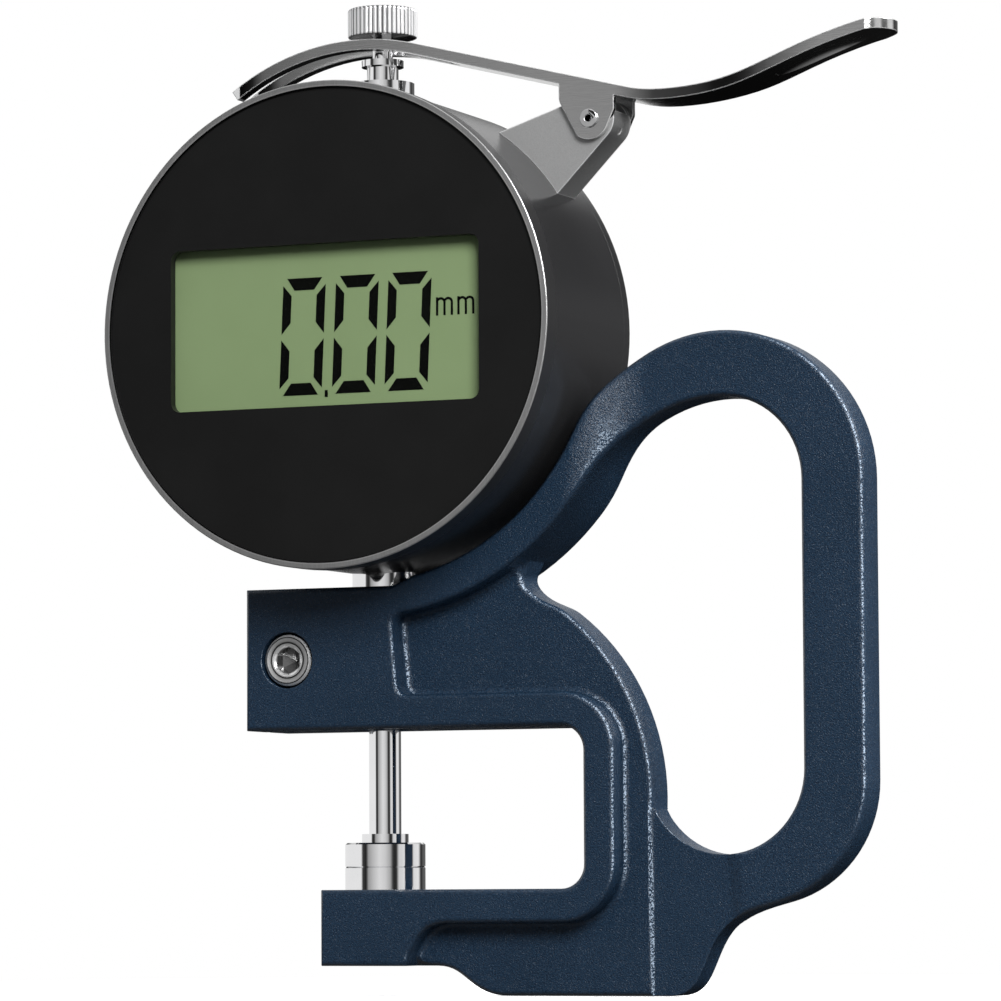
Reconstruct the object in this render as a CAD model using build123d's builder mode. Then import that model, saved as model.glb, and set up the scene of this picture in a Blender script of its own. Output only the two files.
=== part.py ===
"""Digital thickness gauge: cast C-frame with a loop handle, round digital indicator, flat contact,
flat anvil and a forked thumb lever that lifts the spindle.

Millimetres. The origin is the centre of the anvil's measuring face, where the reading is zero.
+Z runs up the spindle, +X towards the handle, and the display looks along -Y.
"""

import os
from math import asin, atan2, cos, degrees, hypot, radians, sin, sqrt, tan

from build123d import *

os.makedirs("parts", exist_ok=True)

# Measuring line
TRAVEL = 12.7
CONTACT_RADIUS = 5.0
CONTACT_HEIGHT = 2.9
BOSS_RADIUS = 2.9
BOSS_HEIGHT = 1.1
ANVIL_RADIUS = 5.0
ANVIL_HEIGHT = 2.9
SPINDLE_RADIUS = 2.0
STEM_RADIUS = 4.0

# Frame casting
THROAT_DEPTH = 29.2
THROAT_HEIGHT = 19.8
THROAT_CORNER = 3.0
RIM_WIDTH = 4.1
JAW_THICKNESS = 12.7
WEB_THICKNESS = 5.8
UPPER_JAW_HEIGHT = 17.6
UPPER_JAW_OVERHANG = 16.3
LOWER_JAW_OVERHANG = 6.1
LOWER_JAW_HEIGHT = 9.35
FOOT_DROP = 3.65
FOOT_START = 17.5
FOOT_END = 38.7
COLUMN_WIDTH = 7.7
COLUMN_RADIUS = 28.5
COLUMN_RISE = 1.4
COLUMN_MIDDLE = 32.0
COLUMN_END = 53.0
NOTCH_CURVE = [(-3.9, 1.9), (-5.75, 4.2)]
NOTCH_TANGENT = (0.3, 1)
LOOP_WIDTH = 19.5
LOOP_TOP_RADIUS = 10.4
LOOP_HEIGHT = 55.4
LOOP_BOTTOM = 1.1
HANDLE_WIDTH = 8.0
HANDLE_CORNER = 15.0
HANDLE_CORNER_Z = 9.9
HANDLE_CORNER_SWEEP = 75.0
HEEL_CURVE = [(7.0, 8.0), (4.5, 3.6)]
TOE_CURVE = (-4.9, 1.7)
ARM_WIDTH = 4.3
TAPER_START = 26.5
TAPER_END = 37.0
CASTING_EDGE = 0.6
WEB_FILLET = 0.8

# Indicator head
CASE_RADIUS = 29.8
CASE_WALL = 1.9
CASE_GAP = 1.2
STEM_SHOWING = 1.7
FRONT_DEPTH = 17.9
BACK_DEPTH = 8.5

BEZEL_PROUD = 0.2
BEZEL_LIP = 0.9
BEZEL_LIP_DEPTH = 0.4
BEZEL_HEIGHT = 3.1
BEZEL_SKIRT = 0.5
PANEL_THICKNESS = 1.2
WINDOW_WIDTH = 41.7
WINDOW_HEIGHT = 20.0
WINDOW_CORNER = 1.2
FRONT_WALL = 3.3
DISPLAY_MARGIN = 1.0
DISPLAY_THICKNESS = 1.5
LENS_MARGIN = 2.0
LENS_THICKNESS = 0.8
BOARD_GAP = 0.5
BOARD_THICKNESS = 1.6
HOLDER_DEPTH = 5.1
HOLDER_WIDTH = 46.5
HOLDER_HEIGHT = 25.5
STRIP_LENGTH = 36.0
STRIP_HEIGHT = 2.0
STRIP_Z = 8.6
BOARD_SCREW_X = 15.0
BOARD_SCREW_Z = 19.0
BOARD_BOSS_RADIUS = 2.2
COVER_PLATE = 1.8
REGISTER_DEPTH = 0.7
COVER_SCREW_ANGLE = 30.0
COVER_BOSS_RADIUS = 2.5
COVER_BOSS_LENGTH = 10.0

# Scale, carrier, guide post and return spring, as places on the dial
SCALE_WIDTH = 8.0
SCALE_THICKNESS = 1.0
SCALE_GAP = 0.3
SCALE_OVER_STEM = 3.3
SCALE_LENGTH = 26.0
CARRIER_PLATE = 1.5
CARRIER_WIDTH = 9.0
CARRIER_BACK = 3.5
CARRIER_GAP = 0.55
CARRIER_HEIGHT = 8.0
ARM_THICKNESS = 3.6
ARM_HEIGHT = 4.0
FORK_RISE = 2.0
GUIDE_X = 12.0
GUIDE_RADIUS = 1.2
LUG_HALF_WIDTH = 2.4
LUG_HEIGHT = 3.0
SPRING_X = 12.0
SPRING_STUD_RADIUS = 1.0
SPRING_STUD_LENGTH = 1.8
SPRING_WIRE = 0.25
SPRING_TURNS = 3
SPRING_LUG = 1.2
SPRING_POST_BASE = 1.0

# Battery group
CELL_RADIUS = 10.0
CELL_HEIGHT = 3.2
CELL_TO_CASE = 0.8
CAP_RADIUS = 11.0
CAP_HEIGHT = 1.5
CAP_LUG = 0.9
CAP_LUG_HEIGHT = 0.7
CAP_LUG_SWEEP = 20.0
CAP_TURN = 60.0
GROOVE_SPARE = 2.0
WELL_WALL = 1.2
WELL_FLOOR = 0.6
WELL_STEP = 0.6
CONTACT_THICKNESS = 0.4
CONTACT_WIDTH = 4.0
CONTACT_LEG = 1.2
CONTACT_LEG_X = -8.5
CONTACT_END_X = 4.0
COIN_SLOT = 13.0
COIN_SLOT_WIDTH = 1.8
COIN_SLOT_DEPTH = 0.7

# Lever bracket on the case's shoulder
PIVOT_ANGLE = 40.62
PIVOT_HEIGHT = 9.07
BRACKET_WIDTH = 5.4
BRACKET_PLATE = 0.8
BRACKET_NOSE = 3.0
BRACKET_TOP_SLOPE = 18.0
BRACKET_SIDE_SLOPE = 45.5
BRACKET_WEB_END = 20.0
BRACKET_SCREW_ANGLE = 43.5
BRACKET_SCREW_SPREAD = 4.6
BRACKET_OPENING = 14.0
PIN_RADIUS = 0.8
PIN_HEAD_RADIUS = 1.15
PIN_HEAD_HEIGHT = 0.3
PIN_BORE = 0.45

# Lifting lever
LEVER_THICKNESS = 1.3
STRIP_OVER_PIVOT = 4.74
STRIP_PAST_PIVOT = 4.0
PAD_WIDTH = 8.0
ARCH_OVER_CASE = 1.0
ARCH_END_X = 5.7
ARCH_START = 124.7
FORK_PLAY = 0.52
FORK_END = 10.5
PAD_CURVE = [(6.2, -0.5), (14.9, 0.8), (23.5, 3.9), (31.3, 6.1), (34.0, 6.3)]
DIMPLE_X = 25.0
DIMPLE_Z = 4.05
DIMPLE_SLOPE = 17.1
DIMPLE_LENGTH = 14.0
DIMPLE_RISE = 0.7
DIMPLE_ROUND = 7.3
PAD_END_SLOPE = 0.02
PAD_START = 9.5
PAD_FLARE = 9.0
PAD_END = 33.8
PAD_CORNER = 2.6
EAR_THICKNESS = 0.7
EAR_NOSE = 2.6
EAR_CORNER = 2.0
EAR_LEFT = 4.0
EAR_LEFT_Z = 2.4
EAR_RIGHT = 3.3
EAR_RIGHT_Z = 1.0
EAR_LEFT_ANGLE = 232.0
EAR_RIGHT_ANGLE = -28.0

# Lever spring
LEVER_SPRING_WIRE = 0.2
LEVER_SPRING_WIDTH = 2.8
LEVER_SPRING_TURNS = 2.47
SPRING_LEG_DROP = 1.3
FIXED_LEG = 3.2
LEVER_LEG = 2.9
BRACKET_SCREW_HEAD = 0.9
BRACKET_SCREW_LENGTH = 3.3

# Fits
PRESS = 0.02
RUNNING = 0.03
LOOSE = 0.15

# Screw, stud and disc details
DISC_EDGE = 0.2
HOLE_SPARE = 0.3
CLAMP_HEX_DEPTH = 2.0
STUD_RADIUS = 1.2
STUD_LENGTH = 4.1

# Spindle's upper end, as heights over the anvil
NECK_RADIUS = 1.28
COLLAR_RADIUS = 2.65
COLLAR_HEIGHT = 0.8
COLLAR_OVER_BUSH = 2.1
UPPER_BUSH_RADIUS = 3.0
UPPER_BUSH_HEAD = 2.7
UPPER_BUSH_BODY = 3.3
SPOT_FACE_SINK = 0.5
KNOB_RADIUS = 4.375
KNOB_HEIGHT = 3.55
KNOB_OVER_COLLAR = 2.95
KNOB_RELIEF = 0.5
KNOB_RIM = 0.8
KNOB_ROOF = 1.0
KNURL_COUNT = 24
KNURL_RADIUS = 0.7
KNURL_DEPTH = 0.28

# Stem and lower bush
STEM_BORE = 2.9
STEM_INSERTION = 16.6
FLANGE_RADIUS = 5.4
FLANGE_HEIGHT = 1.5
STEM_PAD_DEPTH = 3.0
BUSH_LENGTH = 10.0

# Small screws
SMALL_SCREW = 0.8
SMALL_HEAD = 1.4
BOARD_SCREW_HEAD = 1.0
BOARD_SCREW_LENGTH = 4.6
COVER_SCREW = 1.0
COVER_HEAD = 1.9
COVER_SCREW_LENGTH = 6.0

# Worked out from the sizes above
LOWER_JAW_TOP = -ANVIL_HEIGHT
LOWER_JAW_BOTTOM = LOWER_JAW_TOP - LOWER_JAW_HEIGHT
FOOT_Z = LOWER_JAW_BOTTOM - FOOT_DROP
UPPER_JAW_BOTTOM = LOWER_JAW_TOP + THROAT_HEIGHT
UPPER_JAW_TOP = UPPER_JAW_BOTTOM + UPPER_JAW_HEIGHT
CASE_BOTTOM = UPPER_JAW_TOP + STEM_SHOWING
DIAL_Z = CASE_BOTTOM + CASE_RADIUS
CASE_TOP = DIAL_Z + CASE_RADIUS
SPOT_FACE = CASE_TOP - SPOT_FACE_SINK
UPPER_BUSH_TOP = SPOT_FACE + UPPER_BUSH_HEAD
UPPER_BUSH_END = SPOT_FACE - UPPER_BUSH_BODY
COLLAR_SEAT = UPPER_BUSH_TOP + COLLAR_OVER_BUSH
KNOB_BOTTOM = COLLAR_SEAT + COLLAR_HEIGHT + KNOB_OVER_COLLAR
KNOB_TOP = KNOB_BOTTOM + KNOB_HEIGHT
NECK_TOP = KNOB_TOP - KNOB_ROOF - HOLE_SPARE
STEM_BOTTOM = UPPER_JAW_TOP - STEM_INSERTION
STEM_PAD = CASE_BOTTOM + STEM_PAD_DEPTH
CASE_BORE = CASE_RADIUS - CASE_WALL
BEZEL_RADIUS = CASE_RADIUS + BEZEL_PROUD
PANEL_FRONT = BEZEL_LIP_DEPTH - FRONT_DEPTH
CASE_FRONT = PANEL_FRONT + PANEL_THICKNESS
BEZEL_SEAT = BEZEL_HEIGHT - FRONT_DEPTH
SPIGOT_RADIUS = BEZEL_RADIUS - BEZEL_SKIRT - RUNNING
LENS_BACK = CASE_FRONT + LENS_THICKNESS
DISPLAY_BACK = LENS_BACK + DISPLAY_THICKNESS
WALL_BACK = CASE_FRONT + FRONT_WALL
BOARD_FRONT = WALL_BACK + HOLDER_DEPTH
BOARD_BACK = BOARD_FRONT + BOARD_THICKNESS
SCALE_BACK = BOARD_BACK + SCALE_GAP + SCALE_THICKNESS
LENS_WIDTH = WINDOW_WIDTH + 2 * LENS_MARGIN
LENS_HEIGHT = WINDOW_HEIGHT + 2 * LENS_MARGIN
DISPLAY_WIDTH = WINDOW_WIDTH + 2 * DISPLAY_MARGIN
DISPLAY_HEIGHT = WINDOW_HEIGHT + 2 * DISPLAY_MARGIN
SPRING_COIL = SPRING_STUD_RADIUS + RUNNING + SPRING_WIRE
COVER_SEAT = BACK_DEPTH - COVER_PLATE
REGISTER_FRONT = COVER_SEAT - REGISTER_DEPTH
CAP_SEAT = BACK_DEPTH - CAP_HEIGHT
CONTACT_FRONT = CAP_SEAT - CELL_HEIGHT - CONTACT_THICKNESS
WELL_FRONT = CONTACT_FRONT - WELL_FLOOR
BOARD_RADIUS = CASE_BORE - BOARD_GAP
COVER_SCREW_CIRCLE = CASE_BORE - COVER_BOSS_RADIUS + HOLE_SPARE - LOOSE / 3
GUIDE_REACH = sqrt(CASE_BORE**2 - (GUIDE_X + GUIDE_RADIUS)**2)
SPRING_LUG_Z = SPRING_LUG - sqrt(CASE_BORE**2 - SPRING_X**2)
WELL_RADIUS = CELL_RADIUS + LOOSE + WELL_WALL
CELL_Z = CASE_BORE - CAP_RADIUS - CAP_LUG - WELL_WALL - CELL_TO_CASE
CARRIER_BOTTOM = CELL_Z - WELL_RADIUS - CARRIER_GAP - TRAVEL - CARRIER_HEIGHT
SCALE_BOTTOM = STEM_PAD + FLANGE_HEIGHT + SCALE_OVER_STEM - DIAL_Z
PIVOT_X = (CASE_RADIUS + PIVOT_HEIGHT) * cos(radians(PIVOT_ANGLE))
PIVOT_Z = DIAL_Z + (CASE_RADIUS + PIVOT_HEIGHT) * sin(radians(PIVOT_ANGLE))
LEVER_WIDTH = BRACKET_WIDTH + 2 * (2 * RUNNING + EAR_THICKNESS)
FORK_SLOT = 2 * (NECK_RADIUS + FORK_PLAY)
PIVOT_TO_KNOB = hypot(PIVOT_X, KNOB_BOTTOM - PIVOT_Z)
LEVER_SLOPE = degrees(asin(STRIP_OVER_PIVOT / PIVOT_TO_KNOB) - atan2(KNOB_BOTTOM - PIVOT_Z, PIVOT_X))
ARM_INNER = CASE_RADIUS + CASE_GAP
ARM_OUTER = ARM_INNER + ARM_WIDTH
LOOP_LEFT = THROAT_DEPTH + COLUMN_WIDTH
LOOP_RIGHT = LOOP_LEFT + LOOP_WIDTH
HANDLE_RIGHT = LOOP_RIGHT + HANDLE_WIDTH
LOOP_TOP = LOOP_BOTTOM + LOOP_HEIGHT
HANDLE_TOP = LOOP_TOP + HANDLE_WIDTH
HANDLE_X = LOOP_RIGHT - LOOP_TOP_RADIUS
HALF_JAW = JAW_THICKNESS / 2
HALF_WEB = WEB_THICKNESS / 2

TINY = 0.01
OVERRUN = 1.0
FRONT = Plane.XZ
DIAL = Plane(origin=(0, 0, DIAL_Z), x_dir=(1, 0, 0), z_dir=(0, -1, 0))
DIAL_SECTION = Plane(origin=(0, 0, DIAL_Z))
DIAL_AXIS = Axis((0, 0, DIAL_Z), (0, 1, 0))


def outline(points, plane=FRONT):
    """A closed outline with straight sides."""
    with BuildSketch(plane) as shape:
        with BuildLine():
            Polyline(*points, close=True)
        make_face()
    return shape.sketch


def sector(plane, inner, outer, start, sweep):
    """Part of a flat ring, from a start angle over a sweep in degrees."""
    with BuildSketch(plane) as shape:
        with BuildLine():
            far = CenterArc((0, 0), outer, start, sweep)
            near = CenterArc((0, 0), inner, start, sweep)
            Line(far @ 0, near @ 0)
            Line(far @ 1, near @ 1)
        make_face()
    return shape.sketch


def station(depth):
    """The dial's plane moved to a depth behind the spindle's axis, or in front of it if negative."""
    return DIAL.offset(-depth)


def dial_point(radius, angle):
    """A point on the front plane, at an angle in degrees about the indicator's axis."""
    return (radius * cos(radians(angle)), DIAL_Z + radius * sin(radians(angle)))


def circle_point(centre, radius, angle):
    return (centre[0] + radius * cos(radians(angle)), centre[1] + radius * sin(radians(angle)))


def along_side(edge, level):
    """Whether an edge lies flat in one of the two side planes at a distance from the middle plane."""
    return edge.bounding_box().size.Y < TINY and abs(abs(edge.center().Y) - level) < TINY


def follows(edge, sketch):
    """Whether an edge, seen from the front, lies on the outlines of a sketch."""
    spots = [Vector((edge @ part).X, 0, (edge @ part).Z) for part in (0.3, 0.7)]
    return all(min(wire.distance_to(spot) for wire in sketch.wires()) < TINY for spot in spots)


def touching_radius(dial_radius, top):
    """Radius of the arc under a top line at HANDLE_X that meets the circle round the indicator."""
    drop = DIAL_Z - top
    return (HANDLE_X**2 + drop**2 - dial_radius**2) / (2 * (dial_radius - drop))


def direction_to(centre):
    """Angle from the indicator's axis to a point of the front plane."""
    return degrees(atan2(centre[1] - DIAL_Z, centre[0]))


# The arm leaves the circle round the case on one arc outside and one inside
OUTER_SWEEP = touching_radius(ARM_INNER, HANDLE_TOP)
OUTER_CENTRE = (HANDLE_X, HANDLE_TOP - OUTER_SWEEP)
OUTER_MEET = direction_to(OUTER_CENTRE)
INNER_SWEEP = touching_radius(ARM_OUTER, LOOP_TOP)
INNER_CENTRE = (HANDLE_X, LOOP_TOP - INNER_SWEEP)
INNER_MEET = direction_to(INNER_CENTRE)

# Frame casting
SHOULDER_X = 3.8
SHOULDER_ANGLE = -78.0
LOOP_CORNER_ANGLE = -54.0
LOOP_BOTTOM_SIDE = 10.2
LOOP_LOW_X = 10.3
LOOP_BOTTOM_RISE = 5.6
POCKET_ANGLE = -84.0
POCKET_LEFT = 4.6
POCKET_CORNER = 1.5
JAW_RAMP_X = 8.2
RIM_SHORT = 2.8
RAMP_LENGTH = 5.5
RAMP_BEND = (1.2, -2.4)
RAMP_TANGENT = (-0.3, -1)
BAND_OVERRUN = 8.0
STEP_X = 36.4
STEP_DEPTH = 0.8
STEP_DRAFT = 0.5
STEP_SLOPE_X = 46.3
STEP_SLOPE = 2.4
CUT_Z = UPPER_JAW_TOP + OVERRUN
SPLIT_WIDTH = 1.0
CLAMP_X = 10.5
CLAMP_Z = 25.6
CLAMP_RADIUS = 2.0
CLAMP_HEAD_RADIUS = 3.2
CLAMP_HEAD_HEIGHT = 3.8
CLAMP_SEAT = 3.95
CLAMP_LENGTH = 8.0
CLAMP_HEX = 3.0
ANVIL_SHANK_RADIUS = 2.5
ANVIL_SHANK_LENGTH = 7.0

corner_centre = (HANDLE_RIGHT - HANDLE_CORNER, HANDLE_CORNER_Z)
corner_end = circle_point(corner_centre, HANDLE_CORNER, -HANDLE_CORNER_SWEEP)
corner_slope = radians(180 + 90 - HANDLE_CORNER_SWEEP)
outer_side_radius = HANDLE_RIGHT - HANDLE_X
throat_x = THROAT_DEPTH - THROAT_CORNER
throat_low = LOWER_JAW_TOP + THROAT_CORNER
throat_high = UPPER_JAW_BOTTOM - THROAT_CORNER

with BuildSketch(FRONT) as casting_outline:
    with BuildLine():
        Polyline((throat_x, UPPER_JAW_BOTTOM), (-UPPER_JAW_OVERHANG, UPPER_JAW_BOTTOM),
                 (-UPPER_JAW_OVERHANG, UPPER_JAW_TOP), (SHOULDER_X, UPPER_JAW_TOP),
                 dial_point(ARM_INNER, SHOULDER_ANGLE))
        CenterArc((0, DIAL_Z), ARM_INNER, SHOULDER_ANGLE, OUTER_MEET - SHOULDER_ANGLE)
        CenterArc(OUTER_CENTRE, OUTER_SWEEP, OUTER_MEET + 180, -90 - OUTER_MEET)
        CenterArc((HANDLE_X, HANDLE_TOP - outer_side_radius), outer_side_radius, 90, -90)
        Line((HANDLE_RIGHT, HANDLE_TOP - outer_side_radius), (HANDLE_RIGHT, HANDLE_CORNER_Z))
        CenterArc(corner_centre, HANDLE_CORNER, 0, -HANDLE_CORNER_SWEEP)
        Spline(corner_end, *[(FOOT_END + x, FOOT_Z + z) for x, z in HEEL_CURVE], (FOOT_END, FOOT_Z),
               tangents=[(cos(corner_slope), sin(corner_slope)), (-1, 0)])
        Line((FOOT_END, FOOT_Z), (FOOT_START, FOOT_Z))
        Spline((FOOT_START, FOOT_Z), (FOOT_START + TOE_CURVE[0], FOOT_Z + TOE_CURVE[1]),
               (JAW_RAMP_X, LOWER_JAW_BOTTOM), tangents=[(-1, 0), (-1, 0)])
        Polyline((JAW_RAMP_X, LOWER_JAW_BOTTOM), (-LOWER_JAW_OVERHANG, LOWER_JAW_BOTTOM),
                 (-LOWER_JAW_OVERHANG, LOWER_JAW_TOP), (throat_x, LOWER_JAW_TOP))
        CenterArc((throat_x, throat_low), THROAT_CORNER, -90, 90)
        Line((THROAT_DEPTH, throat_low), (THROAT_DEPTH, throat_high))
        CenterArc((throat_x, throat_high), THROAT_CORNER, 0, 90)
    make_face()

    with BuildLine():
        inner_side_radius = LOOP_RIGHT - HANDLE_X
        loop_side_low = (LOOP_RIGHT, LOOP_BOTTOM + LOOP_BOTTOM_SIDE)
        loop_heel = (LOOP_LEFT, LOOP_BOTTOM + LOOP_BOTTOM_RISE)
        column_centre = (LOOP_LEFT - COLUMN_RADIUS, loop_heel[1] + COLUMN_RISE)
        CenterArc((0, DIAL_Z), ARM_OUTER, LOOP_CORNER_ANGLE, INNER_MEET - LOOP_CORNER_ANGLE)
        CenterArc(INNER_CENTRE, INNER_SWEEP, INNER_MEET + 180, -90 - INNER_MEET)
        CenterArc((HANDLE_X, LOOP_TOP - inner_side_radius), inner_side_radius, 90, -90)
        Line((LOOP_RIGHT, LOOP_TOP - inner_side_radius), loop_side_low)
        ThreePointArc(loop_side_low, (LOOP_RIGHT - LOOP_LOW_X, LOOP_BOTTOM), loop_heel)
        column_top = circle_point(column_centre, COLUMN_RADIUS, COLUMN_END)
        column_middle = circle_point(column_centre, COLUMN_RADIUS, COLUMN_MIDDLE)
        column = ThreePointArc(loop_heel, column_middle, column_top)
        Spline(column_top, *[(column_top[0] + x, column_top[1] + z) for x, z in NOTCH_CURVE],
               dial_point(ARM_OUTER, LOOP_CORNER_ANGLE), tangents=[column % 1, NOTCH_TANGENT])
    make_face(mode=Mode.SUBTRACT)

rim_x = THROAT_DEPTH + RIM_WIDTH
rim_corner = THROAT_CORNER + RIM_WIDTH
pocket_low = UPPER_JAW_BOTTOM + RIM_WIDTH
lower_rim = LOWER_JAW_TOP - RIM_WIDTH
jaw_end = (JAW_RAMP_X - RIM_SHORT, LOWER_JAW_BOTTOM)
ramp_start = (jaw_end[0] + RAMP_LENGTH, lower_rim)
band_end = dial_point(ARM_OUTER, LOOP_CORNER_ANGLE + BAND_OVERRUN)

with BuildSketch(FRONT) as web_pocket:
    with BuildLine():
        CenterArc((0, DIAL_Z), ARM_OUTER, POCKET_ANGLE, LOOP_CORNER_ANGLE + BAND_OVERRUN - POCKET_ANGLE)
        Polyline(dial_point(ARM_OUTER, POCKET_ANGLE), (POCKET_LEFT, pocket_low), (throat_x, pocket_low))
        CenterArc((throat_x, throat_high), rim_corner, 90, -90)
        Line((rim_x, throat_high), (rim_x, throat_low))
        CenterArc((throat_x, throat_low), rim_corner, 0, -90)
        Line((throat_x, lower_rim), ramp_start)
        Spline(ramp_start, (jaw_end[0] + RAMP_BEND[0], lower_rim + RAMP_BEND[1]), jaw_end,
               tangents=[(-1, 0), RAMP_TANGENT])
        Polyline(jaw_end, (jaw_end[0] - OVERRUN, FOOT_Z - OVERRUN),
                 (HANDLE_RIGHT + OVERRUN, FOOT_Z - OVERRUN), (HANDLE_RIGHT + OVERRUN, CUT_Z),
                 (band_end[0], CUT_Z), band_end)
    make_face()
    fillet(web_pocket.vertices().sort_by_distance((POCKET_LEFT, pocket_low))[0], POCKET_CORNER)
    fillet(web_pocket.vertices().sort_by_distance(dial_point(ARM_OUTER, POCKET_ANGLE))[0], POCKET_CORNER)

with BuildPart() as frame_casting:
    extrude(casting_outline.sketch, amount=HALF_JAW, both=True)
    extrude(web_pocket.sketch, amount=HALF_JAW, both=True, mode=Mode.SUBTRACT)
    # The arm tapers from the jaw's thickness to the handle's in one S-shaped slope on each side
    with BuildSketch(Plane.XY.offset(CUT_Z)) as taper_cut:
        with BuildLine():
            Spline((TAPER_START, -HALF_JAW), (TAPER_END, -HALF_WEB), tangents=[(1, 0), (1, 0)])
            Polyline((TAPER_END, -HALF_WEB), (HANDLE_RIGHT + OVERRUN, -HALF_WEB),
                     (HANDLE_RIGHT + OVERRUN, -HALF_JAW - OVERRUN), (TAPER_START, -HALF_JAW - OVERRUN),
                     (TAPER_START, -HALF_JAW))
        make_face()
        mirror(about=Plane.XZ)
    extrude(amount=HANDLE_TOP, mode=Mode.SUBTRACT)
    extrude(casting_outline.sketch, amount=HALF_WEB, both=True)
    # Break the outer edges of both sides and round the foot of the walls about the web
    arm_edges = [edge for edge in frame_casting.edges()
                 if along_side(edge, HALF_WEB) and follows(edge, casting_outline.sketch)
                 and edge.center().Z > LOOP_HEIGHT / 2 and edge.center().X < HANDLE_X]
    jaw_edges = [edge for edge in frame_casting.edges()
                 if along_side(edge, HALF_JAW) and abs(edge.center().X - TAPER_START) > TINY]
    chamfer(arm_edges + jaw_edges, CASTING_EDGE)
    fillet([edge for edge in frame_casting.edges()
            if along_side(edge, HALF_WEB) and follows(edge, web_pocket.sketch)], WEB_FILLET)
    # Right of the column both sides step back a little under the loop and slope out again
    with BuildSketch(Plane.XY.offset(FOOT_Z - OVERRUN)):
        with BuildLine():
            step_floor = STEP_DEPTH - HALF_WEB
            step_end = STEP_SLOPE_X + STEP_SLOPE
            Polyline((STEP_X, -HALF_WEB), (STEP_X + STEP_DRAFT, step_floor), (STEP_SLOPE_X, step_floor),
                     (step_end, -HALF_WEB), (step_end, -HALF_WEB - OVERRUN),
                     (STEP_X, -HALF_WEB - OVERRUN), close=True)
        make_face()
        mirror(about=Plane.XZ)
    extrude(amount=loop_heel[1] - FOOT_Z + OVERRUN, mode=Mode.SUBTRACT)
    # The upper jaw is bored for the stem and split from its end to the bore
    with BuildSketch(Plane.XY.offset(UPPER_JAW_BOTTOM)):
        Circle(STEM_RADIUS + PRESS)
        with Locations((-UPPER_JAW_OVERHANG, 0)):
            Rectangle(UPPER_JAW_OVERHANG, SPLIT_WIDTH, align=(Align.MIN, Align.CENTER))
    extrude(amount=CASE_BOTTOM - UPPER_JAW_BOTTOM, mode=Mode.SUBTRACT)
    # Clamp screw: counterbore and clearance hole in front of the split, thread behind it
    with Locations(Plane(origin=(-CLAMP_X, -HALF_JAW, CLAMP_Z), z_dir=(0, -1, 0))):
        CounterBoreHole(CLAMP_RADIUS + LOOSE, CLAMP_HEAD_RADIUS + 2 * LOOSE, CLAMP_SEAT, HALF_JAW)
    with Locations(Plane(origin=(-CLAMP_X, 0, CLAMP_Z), z_dir=(0, -1, 0))):
        Hole(CLAMP_RADIUS + PRESS, CLAMP_LENGTH - HALF_JAW + CLAMP_SEAT + 2 * LOOSE)
    with Locations(Plane.XY.offset(LOWER_JAW_TOP)):
        Hole(ANVIL_SHANK_RADIUS + PRESS, ANVIL_SHANK_LENGTH + HOLE_SPARE)
frame_casting.part.label = "frame_casting"
export_step(frame_casting.part, "parts/frame_casting.step")

# Anvil: a flat disc whose shank is pressed into the lower jaw
with BuildPart() as anvil:
    revolve(outline([
        (0, 0), (ANVIL_RADIUS - DISC_EDGE, 0), (ANVIL_RADIUS, -DISC_EDGE), (ANVIL_RADIUS, -ANVIL_HEIGHT),
        (ANVIL_SHANK_RADIUS, -ANVIL_HEIGHT), (ANVIL_SHANK_RADIUS, -ANVIL_HEIGHT - ANVIL_SHANK_LENGTH),
        (0, -ANVIL_HEIGHT - ANVIL_SHANK_LENGTH)]), axis=Axis.Z)
anvil.part.label = "anvil"
export_step(anvil.part, "parts/anvil.step")

# Clamp screw: socket head, sunk in the jaw's front
clamp_front = CLAMP_SEAT - HALF_JAW - CLAMP_HEAD_HEIGHT
with BuildPart() as clamp_screw:
    clamp_plane = Plane(origin=(-CLAMP_X, clamp_front, CLAMP_Z), z_dir=(0, 1, 0))
    with BuildSketch(clamp_plane):
        Circle(CLAMP_HEAD_RADIUS)
    extrude(amount=CLAMP_HEAD_HEIGHT)
    with BuildSketch(clamp_plane.offset(CLAMP_HEAD_HEIGHT)):
        Circle(CLAMP_RADIUS)
    extrude(amount=CLAMP_LENGTH)
    with BuildSketch(clamp_plane):
        RegularPolygon(CLAMP_HEX / 2, 6, major_radius=False)
    extrude(amount=CLAMP_HEX_DEPTH, mode=Mode.SUBTRACT)
clamp_screw.part.label = "clamp_screw"
export_step(clamp_screw.part, "parts/clamp_screw.step")

# Contact point: flat disc, boss and the stud that screws into the spindle
contact_top = CONTACT_HEIGHT + BOSS_HEIGHT
with BuildPart() as contact_point:
    revolve(outline([
        (0, 0), (CONTACT_RADIUS, 0), (CONTACT_RADIUS, CONTACT_HEIGHT - DISC_EDGE),
        (CONTACT_RADIUS - DISC_EDGE, CONTACT_HEIGHT), (BOSS_RADIUS, CONTACT_HEIGHT),
        (BOSS_RADIUS, contact_top), (STUD_RADIUS, contact_top), (STUD_RADIUS, contact_top + STUD_LENGTH),
        (0, contact_top + STUD_LENGTH)]), axis=Axis.Z)
contact_point.part.label = "contact_point"
export_step(contact_point.part, "parts/contact_point.step")

# Spindle: ground rod with a threaded neck for the collar and the lifting knob
with BuildPart() as spindle:
    revolve(outline([
        (0, contact_top), (SPINDLE_RADIUS, contact_top), (SPINDLE_RADIUS, COLLAR_SEAT),
        (NECK_RADIUS, COLLAR_SEAT), (NECK_RADIUS, NECK_TOP), (0, NECK_TOP)]), axis=Axis.Z)
    with Locations(Plane(origin=(0, 0, contact_top), z_dir=(0, 0, -1))):
        Hole(STUD_RADIUS + RUNNING, STUD_LENGTH + HOLE_SPARE)
spindle.part.label = "spindle"
export_step(spindle.part, "parts/spindle.step")

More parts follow.
